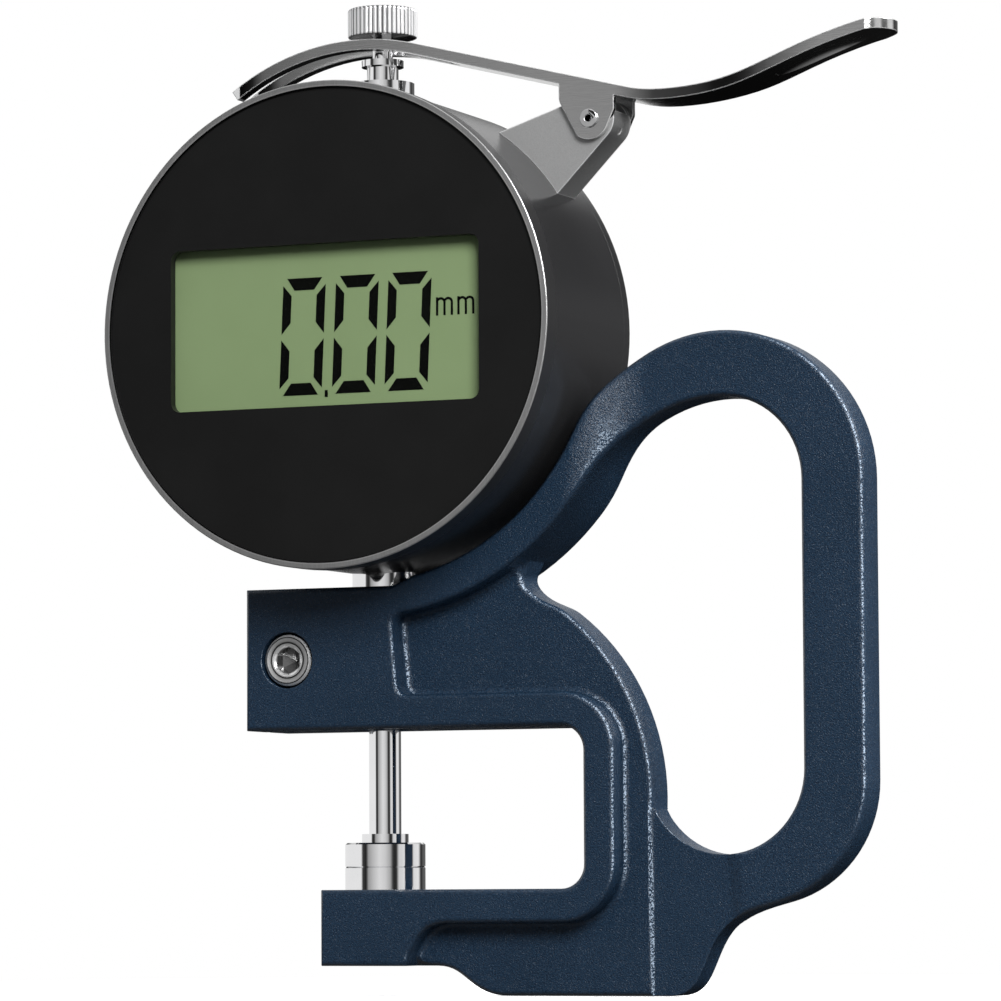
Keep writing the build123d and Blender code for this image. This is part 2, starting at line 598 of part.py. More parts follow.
with BuildPart() as spindle_collar:
    with BuildSketch(Plane.XY.offset(COLLAR_SEAT)):
        Circle(COLLAR_RADIUS)
        Circle(NECK_RADIUS + PRESS, mode=Mode.SUBTRACT)
    extrude(amount=COLLAR_HEIGHT)
spindle_collar.part.label = "spindle_collar"
export_step(spindle_collar.part, "parts/spindle_collar.step")

# Lifting knob: straight knurl round the rim, screwed down on the neck
with BuildPart() as lifting_knob:
    revolve(outline([
        (NECK_RADIUS + PRESS, KNOB_BOTTOM + KNOB_RELIEF),
        (KNOB_RADIUS - KNOB_RIM, KNOB_BOTTOM + KNOB_RELIEF),
        (KNOB_RADIUS - KNOB_RIM, KNOB_BOTTOM), (KNOB_RADIUS, KNOB_BOTTOM), (KNOB_RADIUS, KNOB_TOP),
        (0, KNOB_TOP), (0, NECK_TOP + HOLE_SPARE),
        (NECK_RADIUS + PRESS, NECK_TOP + HOLE_SPARE)]), axis=Axis.Z)
    with BuildSketch(Plane.XY.offset(KNOB_BOTTOM)):
        with PolarLocations(KNOB_RADIUS + KNURL_RADIUS - KNURL_DEPTH, KNURL_COUNT):
            RegularPolygon(KNURL_RADIUS, 4)
    extrude(amount=KNOB_TOP - KNOB_BOTTOM, mode=Mode.SUBTRACT)
lifting_knob.part.label = "lifting_knob"
export_step(lifting_knob.part, "parts/lifting_knob.step")

# Stem: the clamping tube, with a flange on the pad inside the case
with BuildPart() as stem:
    revolve(outline([
        (STEM_BORE, STEM_BOTTOM), (STEM_RADIUS, STEM_BOTTOM), (STEM_RADIUS, STEM_PAD),
        (FLANGE_RADIUS, STEM_PAD), (FLANGE_RADIUS, STEM_PAD + FLANGE_HEIGHT),
        (STEM_BORE, STEM_PAD + FLANGE_HEIGHT)]), axis=Axis.Z)
stem.part.label = "stem"
export_step(stem.part, "parts/stem.step")

with BuildPart() as lower_bush:
    with BuildSketch(Plane.XY.offset(STEM_BOTTOM)):
        Circle(STEM_BORE - PRESS)
        Circle(SPINDLE_RADIUS + RUNNING, mode=Mode.SUBTRACT)
    extrude(amount=BUSH_LENGTH)
lower_bush.part.label = "lower_bush"
export_step(lower_bush.part, "parts/lower_bush.step")

# Upper guide bush: its head sits on the spot face on top of the case
with BuildPart() as upper_bush:
    revolve(outline([
        (SPINDLE_RADIUS + RUNNING, UPPER_BUSH_END), (UPPER_BUSH_RADIUS, UPPER_BUSH_END),
        (UPPER_BUSH_RADIUS, SPOT_FACE), (STEM_RADIUS, SPOT_FACE), (STEM_RADIUS, UPPER_BUSH_TOP),
        (SPINDLE_RADIUS + RUNNING, UPPER_BUSH_TOP)]), axis=Axis.Z)
upper_bush.part.label = "upper_bush"
export_step(upper_bush.part, "parts/upper_bush.step")

# Case shell: a round box open at the back, with the display's opening in its front wall
board_points = [(BOARD_SCREW_X, BOARD_SCREW_Z), (-BOARD_SCREW_X, -BOARD_SCREW_Z)]
cover_angles = [COVER_SCREW_ANGLE, 180 - COVER_SCREW_ANGLE, 180 + COVER_SCREW_ANGLE, -COVER_SCREW_ANGLE]
cover_points = [(COVER_SCREW_CIRCLE * cos(radians(a)), COVER_SCREW_CIRCLE * sin(radians(a)))
                for a in cover_angles]
bracket_angles = [BRACKET_SCREW_ANGLE - BRACKET_SCREW_SPREAD, BRACKET_SCREW_ANGLE + BRACKET_SCREW_SPREAD]


def shoulder_plane(radius, angle):
    """A plane facing outwards on the case's round side."""
    direction = (cos(radians(angle)), 0, sin(radians(angle)))
    return Plane(origin=(radius * direction[0], 0, DIAL_Z + radius * direction[2]), z_dir=direction)


with BuildPart() as case_shell:
    revolve(outline([
        (0, CASE_FRONT), (SPIGOT_RADIUS, CASE_FRONT), (SPIGOT_RADIUS, BEZEL_SEAT),
        (CASE_RADIUS, BEZEL_SEAT), (CASE_RADIUS, COVER_SEAT), (CASE_BORE, COVER_SEAT),
        (CASE_BORE, WALL_BACK), (0, WALL_BACK)],
        DIAL_SECTION), axis=DIAL_AXIS)
    with BuildSketch(station(WALL_BACK)):
        Rectangle(DISPLAY_WIDTH + 2 * LOOSE, DISPLAY_HEIGHT + 2 * LOOSE)
    extrude(amount=FRONT_WALL, mode=Mode.SUBTRACT)
    with BuildSketch(station(LENS_BACK)):
        Rectangle(LENS_WIDTH + 2 * LOOSE, LENS_HEIGHT + 2 * LOOSE)
    extrude(amount=LENS_THICKNESS, mode=Mode.SUBTRACT)
    # Bosses behind the front wall carry the circuit board
    with BuildSketch(station(BOARD_FRONT)):
        with Locations(*board_points):
            Circle(BOARD_BOSS_RADIUS)
    extrude(amount=BOARD_FRONT - WALL_BACK)
    # Pads and lugs on the round wall: stem flange, guide post, spring post and back cover screws
    with BuildSketch(station(FLANGE_RADIUS)):
        with Locations((0, STEM_PAD - DIAL_Z)):
            Rectangle(2 * FLANGE_RADIUS + OVERRUN, CASE_RADIUS, align=(Align.CENTER, Align.MAX))
        Circle(CASE_BORE + CASE_WALL / 2, mode=Mode.INTERSECT)
    extrude(amount=2 * FLANGE_RADIUS)
    with BuildSketch(station(LUG_HALF_WIDTH)):
        with Locations((GUIDE_X, GUIDE_REACH - LUG_HEIGHT)):
            Rectangle(2 * LUG_HALF_WIDTH, CASE_RADIUS, align=(Align.CENTER, Align.MIN))
        with Locations((GUIDE_X, LUG_HEIGHT - GUIDE_REACH)):
            Rectangle(2 * LUG_HALF_WIDTH, CASE_RADIUS, align=(Align.CENTER, Align.MAX))
        with Locations((-SPRING_X, SPRING_LUG_Z)):
            Rectangle(2 * LUG_HALF_WIDTH, CASE_RADIUS, align=(Align.CENTER, Align.MAX))
        Circle(CASE_BORE + CASE_WALL / 2, mode=Mode.INTERSECT)
    extrude(amount=2 * LUG_HALF_WIDTH)
    with BuildSketch(station(REGISTER_FRONT)):
        with Locations(*cover_points):
            Circle(COVER_BOSS_RADIUS)
        Circle(CASE_BORE + CASE_WALL / 2, mode=Mode.INTERSECT)
    extrude(amount=COVER_BOSS_LENGTH)
    # Slots for the guide post, open to the back
    with BuildSketch(Plane.XY.offset(DIAL_Z - GUIDE_REACH)):
        with Locations((GUIDE_X, 0)):
            Circle(GUIDE_RADIUS + PRESS)
            Rectangle(2 * (GUIDE_RADIUS + PRESS), LUG_HALF_WIDTH + OVERRUN,
                      align=(Align.CENTER, Align.MIN))
    extrude(amount=2 * GUIDE_REACH, mode=Mode.SUBTRACT)
    # Bores on the spindle's line, and the flat for the upper bush
    with BuildSketch(Plane.XY.offset(CASE_BOTTOM)):
        Circle(STEM_RADIUS + PRESS)
    extrude(amount=STEM_PAD_DEPTH + OVERRUN, mode=Mode.SUBTRACT)
    with BuildSketch(Plane.XY.offset(SPOT_FACE)):
        Circle(STEM_RADIUS + 2 * RUNNING + HOLE_SPARE)
    extrude(amount=SPOT_FACE_SINK + OVERRUN, mode=Mode.SUBTRACT)
    with BuildSketch(Plane.XY.offset(SPOT_FACE)):
        Circle(UPPER_BUSH_RADIUS + PRESS)
    extrude(amount=-UPPER_BUSH_BODY - OVERRUN, mode=Mode.SUBTRACT)
    # Screw holes
    with BuildSketch(station(BOARD_FRONT)):
        with Locations(*board_points):
            Circle(SMALL_SCREW + PRESS)
    extrude(amount=BOARD_SCREW_LENGTH, mode=Mode.SUBTRACT)
    with BuildSketch(station(REGISTER_FRONT)):
        with Locations(*cover_points):
            Circle(COVER_SCREW + PRESS)
    extrude(amount=COVER_SCREW_LENGTH, mode=Mode.SUBTRACT)
    for angle in bracket_angles:
        with BuildSketch(shoulder_plane(CASE_BORE - OVERRUN, angle)):
            Circle(SMALL_SCREW + PRESS)
        extrude(amount=CASE_WALL + 2 * OVERRUN, mode=Mode.SUBTRACT)
    with Locations(Plane(origin=(-SPRING_X, 0, DIAL_Z + SPRING_LUG_Z), z_dir=(0, 0, 1))):
        Hole(SPRING_STUD_RADIUS + PRESS, SPRING_STUD_LENGTH)
case_shell.part.label = "case_shell"
export_step(case_shell.part, "parts/case_shell.step")

with BuildPart() as bezel_ring:
    revolve(outline([
        (BEZEL_RADIUS - BEZEL_LIP, -FRONT_DEPTH), (BEZEL_RADIUS, -FRONT_DEPTH),
        (BEZEL_RADIUS, BEZEL_SEAT), (BEZEL_RADIUS - BEZEL_SKIRT, BEZEL_SEAT),
        (BEZEL_RADIUS - BEZEL_SKIRT, PANEL_FRONT),
        (BEZEL_RADIUS - BEZEL_LIP, PANEL_FRONT)], DIAL_SECTION), axis=DIAL_AXIS)
bezel_ring.part.label = "bezel_ring"
export_step(bezel_ring.part, "parts/bezel_ring.step")

with BuildPart() as face_panel:
    with BuildSketch(station(CASE_FRONT)):
        Circle(BEZEL_RADIUS - BEZEL_SKIRT - LOOSE)
        RectangleRounded(WINDOW_WIDTH, WINDOW_HEIGHT, WINDOW_CORNER, mode=Mode.SUBTRACT)
    extrude(amount=PANEL_THICKNESS)
face_panel.part.label = "face_panel"
export_step(face_panel.part, "parts/face_panel.step")

with BuildPart() as window_lens:
    with BuildSketch(station(LENS_BACK)):
        Rectangle(LENS_WIDTH, LENS_HEIGHT)
    extrude(amount=LENS_THICKNESS)
window_lens.part.label = "window_lens"
export_step(window_lens.part, "parts/window_lens.step")

with BuildPart() as display:
    with BuildSketch(station(DISPLAY_BACK)):
        Rectangle(DISPLAY_WIDTH, DISPLAY_HEIGHT)
    extrude(amount=DISPLAY_THICKNESS)
display.part.label = "display"
export_step(display.part, "parts/display.step")

# Display holder: a frame behind the wall, whose raised part enters the opening under the display
with BuildPart() as display_holder:
    with BuildSketch(station(BOARD_FRONT)):
        Rectangle(HOLDER_WIDTH, HOLDER_HEIGHT)
    extrude(amount=HOLDER_DEPTH)
    with BuildSketch(station(WALL_BACK)):
        Rectangle(DISPLAY_WIDTH, DISPLAY_HEIGHT)
    extrude(amount=WALL_BACK - DISPLAY_BACK)
    with BuildSketch(station(BOARD_FRONT)):
        Rectangle(STRIP_LENGTH, 2 * (STRIP_Z - STRIP_HEIGHT))
        with Locations((0, STRIP_Z), (0, -STRIP_Z)):
            Rectangle(STRIP_LENGTH + 2 * LOOSE, STRIP_HEIGHT + 2 * PRESS)
    extrude(amount=BOARD_FRONT - DISPLAY_BACK, mode=Mode.SUBTRACT)
display_holder.part.label = "display_holder"
export_step(display_holder.part, "parts/display_holder.step")

with BuildPart() as contact_strips:
    with BuildSketch(station(BOARD_FRONT)):
        with Locations((0, STRIP_Z), (0, -STRIP_Z)):
            Rectangle(STRIP_LENGTH, STRIP_HEIGHT)
    extrude(amount=BOARD_FRONT - DISPLAY_BACK)
contact_strips.part.label = "contact_strips"
export_step(contact_strips.part, "parts/contact_strips.step")

with BuildPart() as circuit_board:
    with BuildSketch(station(BOARD_BACK)):
        Circle(BOARD_RADIUS)
        with Locations(*board_points):
            Circle(SMALL_SCREW + LOOSE, mode=Mode.SUBTRACT)
    extrude(amount=BOARD_THICKNESS)
circuit_board.part.label = "circuit_board"
export_step(circuit_board.part, "parts/circuit_board.step")

with BuildPart() as board_screws:
    with BuildSketch(station(BOARD_BACK + BOARD_SCREW_HEAD)):
        with Locations(*board_points):
            Circle(SMALL_HEAD)
    extrude(amount=BOARD_SCREW_HEAD)
    with BuildSketch(station(BOARD_BACK)):
        with Locations(*board_points):
            Circle(SMALL_SCREW)
    extrude(amount=BOARD_SCREW_LENGTH)
board_screws.part.label = "board_screws"
export_step(board_screws.part, "parts/board_screws.step")

# Scale carrier: clamped on the spindle, with a plate for the scale, a fork and a spring stud
with BuildPart() as scale_carrier:
    with BuildSketch(station(CARRIER_BACK)):
        with Locations((0, CARRIER_BOTTOM)):
            Rectangle(CARRIER_WIDTH, CARRIER_HEIGHT, align=(Align.CENTER, Align.MIN))
    extrude(amount=CARRIER_BACK - SCALE_BACK)
    with BuildSketch(station(SCALE_BACK + CARRIER_PLATE)):
        with Locations((0, SCALE_BOTTOM)):
            Rectangle(SCALE_WIDTH, SCALE_LENGTH, align=(Align.CENTER, Align.MIN))
    extrude(amount=CARRIER_PLATE)
    with BuildSketch(station(ARM_THICKNESS / 2)):
        with Locations((0, CARRIER_BOTTOM + FORK_RISE)):
            Rectangle(GUIDE_X + 2 * GUIDE_RADIUS, ARM_HEIGHT, align=(Align.MIN, Align.MIN))
        with Locations((0, CARRIER_BOTTOM + CARRIER_HEIGHT)):
            Rectangle(SPRING_X + 2 * SPRING_STUD_RADIUS, ARM_HEIGHT, align=(Align.MAX, Align.MAX))
    extrude(amount=ARM_THICKNESS)
    spring_top = DIAL_Z + CARRIER_BOTTOM + CARRIER_HEIGHT - ARM_HEIGHT
    with BuildSketch(Plane.XY.offset(spring_top)):
        with Locations((-SPRING_X, 0)):
            Circle(SPRING_STUD_RADIUS)
    extrude(amount=-SPRING_STUD_LENGTH)
    with BuildSketch(Plane.XY.offset(DIAL_Z + CARRIER_BOTTOM)):
        Circle(SPINDLE_RADIUS + PRESS)
        with Locations((GUIDE_X, 0)):
            Circle(GUIDE_RADIUS + RUNNING)
            Rectangle(2 * GUIDE_X, 2 * (GUIDE_RADIUS + RUNNING), align=(Align.MIN, Align.CENTER))
    extrude(amount=CARRIER_HEIGHT, mode=Mode.SUBTRACT)
    with BuildSketch(station(CARRIER_BACK)):
        with Locations((0, CARRIER_BOTTOM + CARRIER_HEIGHT / 2)):
            Circle(SMALL_SCREW + PRESS)
    extrude(amount=CARRIER_BACK, mode=Mode.SUBTRACT)
scale_carrier.part.label = "scale_carrier"
export_step(scale_carrier.part, "parts/scale_carrier.step")

with BuildPart() as scale_strip:
    with BuildSketch(station(SCALE_BACK)):
        with Locations((0, SCALE_BOTTOM)):
            Rectangle(SCALE_WIDTH, SCALE_LENGTH, align=(Align.CENTER, Align.MIN))
    extrude(amount=SCALE_THICKNESS)
scale_strip.part.label = "scale_strip"
export_step(scale_strip.part, "parts/scale_strip.step")

with BuildPart() as carrier_screw:
    with BuildSketch(station(CARRIER_BACK)):
        with Locations((0, CARRIER_BOTTOM + CARRIER_HEIGHT / 2)):
            Circle(SMALL_SCREW)
    extrude(amount=CARRIER_BACK - SPINDLE_RADIUS - PRESS)
carrier_screw.part.label = "carrier_screw"
export_step(carrier_screw.part, "parts/carrier_screw.step")

with BuildPart() as guide_post:
    with BuildSketch(Plane.XY.offset(DIAL_Z - GUIDE_REACH)):
        with Locations((GUIDE_X, 0)):
            Circle(GUIDE_RADIUS)
    extrude(amount=2 * GUIDE_REACH)
guide_post.part.label = "guide_post"
export_step(guide_post.part, "parts/guide_post.step")

# Spring post: pressed into its lug, with a shoulder and a stud for the spring's last turn
spring_seat = DIAL_Z + SPRING_LUG_Z + SPRING_POST_BASE
with BuildPart(Plane(origin=(-SPRING_X, 0, 0))) as spring_post:
    with BuildSketch(Plane(origin=(-SPRING_X, 0, DIAL_Z + SPRING_LUG_Z))):
        Circle(SPRING_COIL + SPRING_WIRE)
    extrude(amount=SPRING_POST_BASE)
    stud_low = DIAL_Z + SPRING_LUG_Z - SPRING_STUD_LENGTH + HOLE_SPARE
    with BuildSketch(Plane(origin=(-SPRING_X, 0, stud_low))):
        Circle(SPRING_STUD_RADIUS)
    extrude(amount=2 * SPRING_STUD_LENGTH + SPRING_POST_BASE - HOLE_SPARE)
spring_post.part.label = "spring_post"
export_step(spring_post.part, "parts/spring_post.step")

# Return spring: pulls the carrier and the spindle down
with BuildPart() as return_spring:
    with BuildLine(Plane(origin=(-SPRING_X, 0, spring_seat + SPRING_WIRE))) as spring_path:
        spring_height = spring_top - spring_seat - 2 * SPRING_WIRE
        Helix(spring_height / SPRING_TURNS, spring_height, SPRING_COIL)
    with BuildSketch(Plane(origin=spring_path.line @ 0, z_dir=spring_path.line % 0)):
        RegularPolygon(SPRING_WIRE, 4)
    sweep(path=spring_path.line, is_frenet=True)
return_spring.part.label = "return_spring"
export_step(return_spring.part, "parts/return_spring.step")

CAP_GROOVE = Plane(origin=(0, CAP_SEAT + CAP_LUG_HEIGHT + RUNNING, DIAL_Z + CELL_Z), x_dir=(1, 0, 0),
                   z_dir=(0, -1, 0))

# Back cover: a flat plate with a register inside the case and a well for the battery
with BuildPart() as back_cover:
    revolve(outline([
        (0, REGISTER_FRONT), (CASE_BORE - LOOSE, REGISTER_FRONT), (CASE_BORE - LOOSE, COVER_SEAT),
        (CASE_RADIUS, COVER_SEAT), (CASE_RADIUS, BACK_DEPTH), (0, BACK_DEPTH)],
        DIAL_SECTION), axis=DIAL_AXIS)
    with BuildSketch(station(REGISTER_FRONT)):
        with Locations((0, CELL_Z)):
            Circle(WELL_RADIUS)
    extrude(amount=REGISTER_FRONT - WELL_FRONT)
    with BuildSketch(station(REGISTER_FRONT)):
        with Locations((0, CELL_Z)):
            Circle(CAP_RADIUS + CAP_LUG + WELL_WALL)
    extrude(amount=WELL_STEP)
    with BuildSketch(station(BACK_DEPTH)):
        with Locations((0, CELL_Z)):
            Circle(CAP_RADIUS + RUNNING)
    extrude(amount=CAP_HEIGHT, mode=Mode.SUBTRACT)
    with BuildSketch(station(BACK_DEPTH)):
        with Locations((0, CELL_Z)):
            Circle(CELL_RADIUS + LOOSE)
    extrude(amount=BACK_DEPTH - CONTACT_FRONT, mode=Mode.SUBTRACT)
    # Bayonet grooves for the cap's lugs, each with its way in from outside
    for side in (0, 180):
        groove_start = side - CAP_LUG_SWEEP / 2 - GROOVE_SPARE
        groove_sweep = CAP_LUG_SWEEP + 2 * GROOVE_SPARE
        groove_radius = CAP_RADIUS + CAP_LUG + RUNNING
        extrude(sector(CAP_GROOVE, CAP_RADIUS - OVERRUN, groove_radius, groove_start,
                       groove_sweep + CAP_TURN), amount=CAP_LUG_HEIGHT + RUNNING, mode=Mode.SUBTRACT)
        extrude(sector(CAP_GROOVE, CAP_RADIUS - OVERRUN, groove_radius, groove_start + CAP_TURN,
                       groove_sweep), amount=-CAP_HEIGHT, mode=Mode.SUBTRACT)
    with BuildSketch(station(CONTACT_FRONT)):
        with Locations((CONTACT_LEG_X, CELL_Z)):
            Rectangle(CONTACT_LEG + 2 * LOOSE, CONTACT_WIDTH + 2 * LOOSE)
    extrude(amount=WELL_FLOOR, mode=Mode.SUBTRACT)
    cover_planes = [Plane(origin=(x, BACK_DEPTH, DIAL_Z + z), z_dir=(0, 1, 0)) for x, z in cover_points]
    with Locations(*cover_planes):
        CounterSinkHole(COVER_SCREW + LOOSE, COVER_HEAD + PRESS, COVER_PLATE + REGISTER_DEPTH, 90)
back_cover.part.label = "back_cover"
export_step(back_cover.part, "parts/back_cover.step")

with BuildPart() as back_cover_screws:
    for x, z in cover_points:
        with BuildSketch(Plane(origin=(x, BACK_DEPTH, DIAL_Z + z), x_dir=(1, 0, 0), z_dir=(0, 0, 1))):
            with BuildLine():
                Polyline((0, 0), (COVER_HEAD, 0), (COVER_SCREW, COVER_SCREW - COVER_HEAD),
                         (COVER_SCREW, -COVER_SCREW_LENGTH), (0, -COVER_SCREW_LENGTH), close=True)
            make_face()
        revolve(axis=Axis((x, 0, DIAL_Z + z), (0, 1, 0)))
back_cover_screws.part.label = "back_cover_screws"
export_step(back_cover_screws.part, "parts/back_cover_screws.step")

with BuildPart() as battery_cap:
    with BuildSketch(station(BACK_DEPTH)):
        with Locations((0, CELL_Z)):
            Circle(CAP_RADIUS)
    extrude(amount=CAP_HEIGHT)
    for side in (0, 180):
        extrude(sector(CAP_GROOVE.offset(RUNNING), CAP_RADIUS - OVERRUN, CAP_RADIUS + CAP_LUG,
                       side - CAP_LUG_SWEEP / 2, CAP_LUG_SWEEP), amount=CAP_LUG_HEIGHT)
    with BuildSketch(station(BACK_DEPTH)):
        with Locations((0, CELL_Z)):
            Rectangle(COIN_SLOT, COIN_SLOT_WIDTH)
    extrude(amount=COIN_SLOT_DEPTH, mode=Mode.SUBTRACT)
battery_cap.part.label = "battery_cap"
export_step(battery_cap.part, "parts/battery_cap.step")

with BuildPart() as battery:
    with BuildSketch(station(CAP_SEAT)):
        with Locations((0, CELL_Z)):
            Circle(CELL_RADIUS)
    extrude(amount=CELL_HEIGHT)
    chamfer(battery.edges().sort_by(Axis.Y)[0], CONTACT_THICKNESS)
battery.part.label = "battery"
export_step(battery.part, "parts/battery.step")

# Battery contact: a leaf under the cell, bent forward to the circuit board
with BuildPart() as battery_contact:
    with BuildSketch(station(CONTACT_FRONT + CONTACT_THICKNESS)):
        with Locations((CONTACT_LEG_X - CONTACT_LEG / 2, CELL_Z)):
            Rectangle(CONTACT_END_X - CONTACT_LEG_X, CONTACT_WIDTH, align=(Align.MIN, Align.CENTER))
    extrude(amount=CONTACT_THICKNESS)
    with BuildSketch(station(CONTACT_FRONT)):
        with Locations((CONTACT_LEG_X, CELL_Z)):
            Rectangle(CONTACT_LEG, CONTACT_WIDTH)
    extrude(amount=CONTACT_FRONT - BOARD_BACK)
battery_contact.part.label = "battery_contact"
export_step(battery_contact.part, "parts/battery_contact.step")

# Lever bracket: one bent strip with two cheeks, a web round the nose and a foot on the case's shoulder
PIVOT = (PIVOT_X, PIVOT_Z)
NOSE_TOP = 90 + BRACKET_TOP_SLOPE
NOSE_SIDE = BRACKET_SIDE_SLOPE - 90


def on_case(radius, start, direction):
    """Where a ray from a point of the front plane first meets a circle about the indicator's axis."""
    x, z = start[0], start[1] - DIAL_Z
    dx, dz = cos(radians(direction)), sin(radians(direction))
    along = -(x * dx + z * dz)
    reach = along - sqrt(along**2 - (x**2 + z**2 - radius**2))
    return (start[0] + reach * dx, start[1] + reach * dz)


def bracket_outline(inset, foot_radius):
    """The bracket from the side: a line off the case, round the nose and back to the case."""
    nose = BRACKET_NOSE - inset
    top_line = circle_point(PIVOT, nose, NOSE_TOP)
    side_line = circle_point(PIVOT, nose, NOSE_SIDE)
    top_foot = on_case(foot_radius, top_line, 180 + BRACKET_TOP_SLOPE)
    side_foot = on_case(foot_radius, side_line, 180 + BRACKET_SIDE_SLOPE)
    with BuildSketch(FRONT) as shape:
        with BuildLine():
            Line(top_foot, top_line)
            CenterArc(PIVOT, nose, NOSE_TOP, NOSE_SIDE - NOSE_TOP)
            Line(side_line, side_foot)
            ThreePointArc(side_foot, dial_point(foot_radius, BRACKET_SCREW_ANGLE), top_foot)
        make_face()
    return shape.sketch


# The web ends a little above the pin, and the channel is open on top
with BuildSketch(FRONT) as channel:
    add(bracket_outline(BRACKET_PLATE, CASE_RADIUS + BRACKET_PLATE))
    with BuildLine():
        web_end = circle_point(PIVOT, 2 * BRACKET_NOSE, BRACKET_WEB_END)
        open_left = dial_point(CASE_RADIUS + BRACKET_PLATE, BRACKET_SCREW_ANGLE + BRACKET_OPENING)
        open_top = PIVOT_Z + 3 * BRACKET_NOSE
        Polyline(circle_point(PIVOT, PIN_BORE, BRACKET_WEB_END), web_end, (web_end[0], open_top),
                 (open_left[0], open_top), open_left,
                 dial_point(CASE_RADIUS + 2 * OVERRUN, BRACKET_SCREW_ANGLE), close=True)
    make_face()

with BuildPart() as lever_bracket:
    extrude(bracket_outline(0, CASE_RADIUS), amount=BRACKET_WIDTH / 2, both=True)
    extrude(channel.sketch, amount=BRACKET_WIDTH / 2 - BRACKET_PLATE, both=True, mode=Mode.SUBTRACT)
    with BuildSketch(FRONT):
        with Locations(PIVOT):
            Circle(PIN_RADIUS + RUNNING)
    extrude(amount=BRACKET_WIDTH, both=True, mode=Mode.SUBTRACT)
    with BuildSketch(Plane(origin=(PIVOT_X, 0, PIVOT_Z - SPRING_LEG_DROP), z_dir=(1, 0, 0))):
        Circle(2 * LEVER_SPRING_WIRE)
    extrude(amount=2 * BRACKET_NOSE, mode=Mode.SUBTRACT)
    for angle in bracket_angles:
        with BuildSketch(shoulder_plane(CASE_RADIUS - OVERRUN, angle)):
            Circle(SMALL_SCREW + RUNNING)
        extrude(amount=BRACKET_PLATE + 2 * OVERRUN, mode=Mode.SUBTRACT)
lever_bracket.part.label = "lever_bracket"
export_step(lever_bracket.part, "parts/lever_bracket.step")

with BuildPart() as bracket_screws:
    for angle in bracket_angles:
        with BuildSketch(shoulder_plane(CASE_RADIUS + BRACKET_PLATE, angle)):
            Circle(SMALL_HEAD)
        extrude(amount=BRACKET_SCREW_HEAD)
        with BuildSketch(shoulder_plane(CASE_RADIUS + BRACKET_PLATE, angle)):
            Circle(SMALL_SCREW)
        extrude(amount=-BRACKET_SCREW_LENGTH)
bracket_screws.part.label = "bracket_screws"
export_step(bracket_screws.part, "parts/bracket_screws.step")

# Pivot pin: a hollow rivet through the lever's ears and the bracket's cheeks
ear_outside = LEVER_WIDTH / 2
with BuildPart() as pivot_pin:
    with BuildSketch(FRONT) as pin_section:
        with Locations(PIVOT):
            Circle(PIN_RADIUS)
    extrude(amount=ear_outside, both=True)
    for side in (-1, 1):
        with BuildSketch(FRONT.offset(side * ear_outside)):
            with Locations(PIVOT):
                Circle(PIN_HEAD_RADIUS)
        extrude(amount=side * PIN_HEAD_HEIGHT)
    with BuildSketch(FRONT):
        with Locations(PIVOT):
            Circle(PIN_BORE)
    extrude(amount=LEVER_WIDTH, both=True, mode=Mode.SUBTRACT)
pivot_pin.part.label = "pivot_pin"
export_step(pivot_pin.part, "parts/pivot_pin.step")

# Lever spring: wound round the pin, one leg through the bracket's web, the other under the lever
coil = Helix(LEVER_SPRING_WIDTH / LEVER_SPRING_TURNS, LEVER_SPRING_WIDTH, SPRING_LEG_DROP,
             (PIVOT_X, -LEVER_SPRING_WIDTH / 2, PIVOT_Z), (0, 1, 0))
coil = coil.rotate(Axis((PIVOT_X, 0, PIVOT_Z), (0, 1, 0)), 90)
coil_start = Plane(origin=coil @ 0, z_dir=coil % 0)
coil_end = Plane(origin=coil @ 1, z_dir=coil % 1)
with BuildPart() as lever_spring:
    with BuildSketch(coil_start):
        RegularPolygon(LEVER_SPRING_WIRE, 4)
    sweep(path=coil, is_frenet=True)
    for leg_plane, leg_length in ((coil_start, -FIXED_LEG), (coil_end, LEVER_LEG)):
        with BuildSketch(leg_plane):
            RegularPolygon(LEVER_SPRING_WIRE, 4)
        extrude(amount=leg_length)
lever_spring.part.label = "lever_spring"
export_step(lever_spring.part, "parts/lever_spring.step")

# Lifting lever: forked strip, arched over the spindle, with two ears on the pin and a thumb pad.
# Its straight stretch lies over the pivot and points at the knob's underside.
half_strip = LEVER_THICKNESS / 2
over_pivot = circle_point(PIVOT, STRIP_OVER_PIVOT - half_strip, 90 + LEVER_SLOPE)
arch_radius = CASE_RADIUS + ARCH_OVER_CASE - half_strip
straight_start = circle_point(over_pivot, (over_pivot[0] - ARCH_END_X) / cos(radians(LEVER_SLOPE)),
                              180 + LEVER_SLOPE)
straight_end = circle_point(over_pivot, STRIP_PAST_PIVOT, LEVER_SLOPE)
arch_centre = circle_point(straight_start, arch_radius, LEVER_SLOPE - 90)
with BuildSketch(FRONT) as lever_side:
    with BuildLine():
        CenterArc(arch_centre, arch_radius, ARCH_START, 90 + LEVER_SLOPE - ARCH_START)
        straight = Line(straight_start, straight_end)
        Spline(straight_end, *[(straight_end[0] + x, straight_end[1] + z) for x, z in PAD_CURVE],
               tangents=[straight % 1, (1, PAD_END_SLOPE)])
    trace(line_width=LEVER_THICKNESS)


def strip_height(x):
    """Height of the middle of the lever's straight stretch."""
    return straight_start[1] + (x - straight_start[0]) * tan(radians(LEVER_SLOPE))


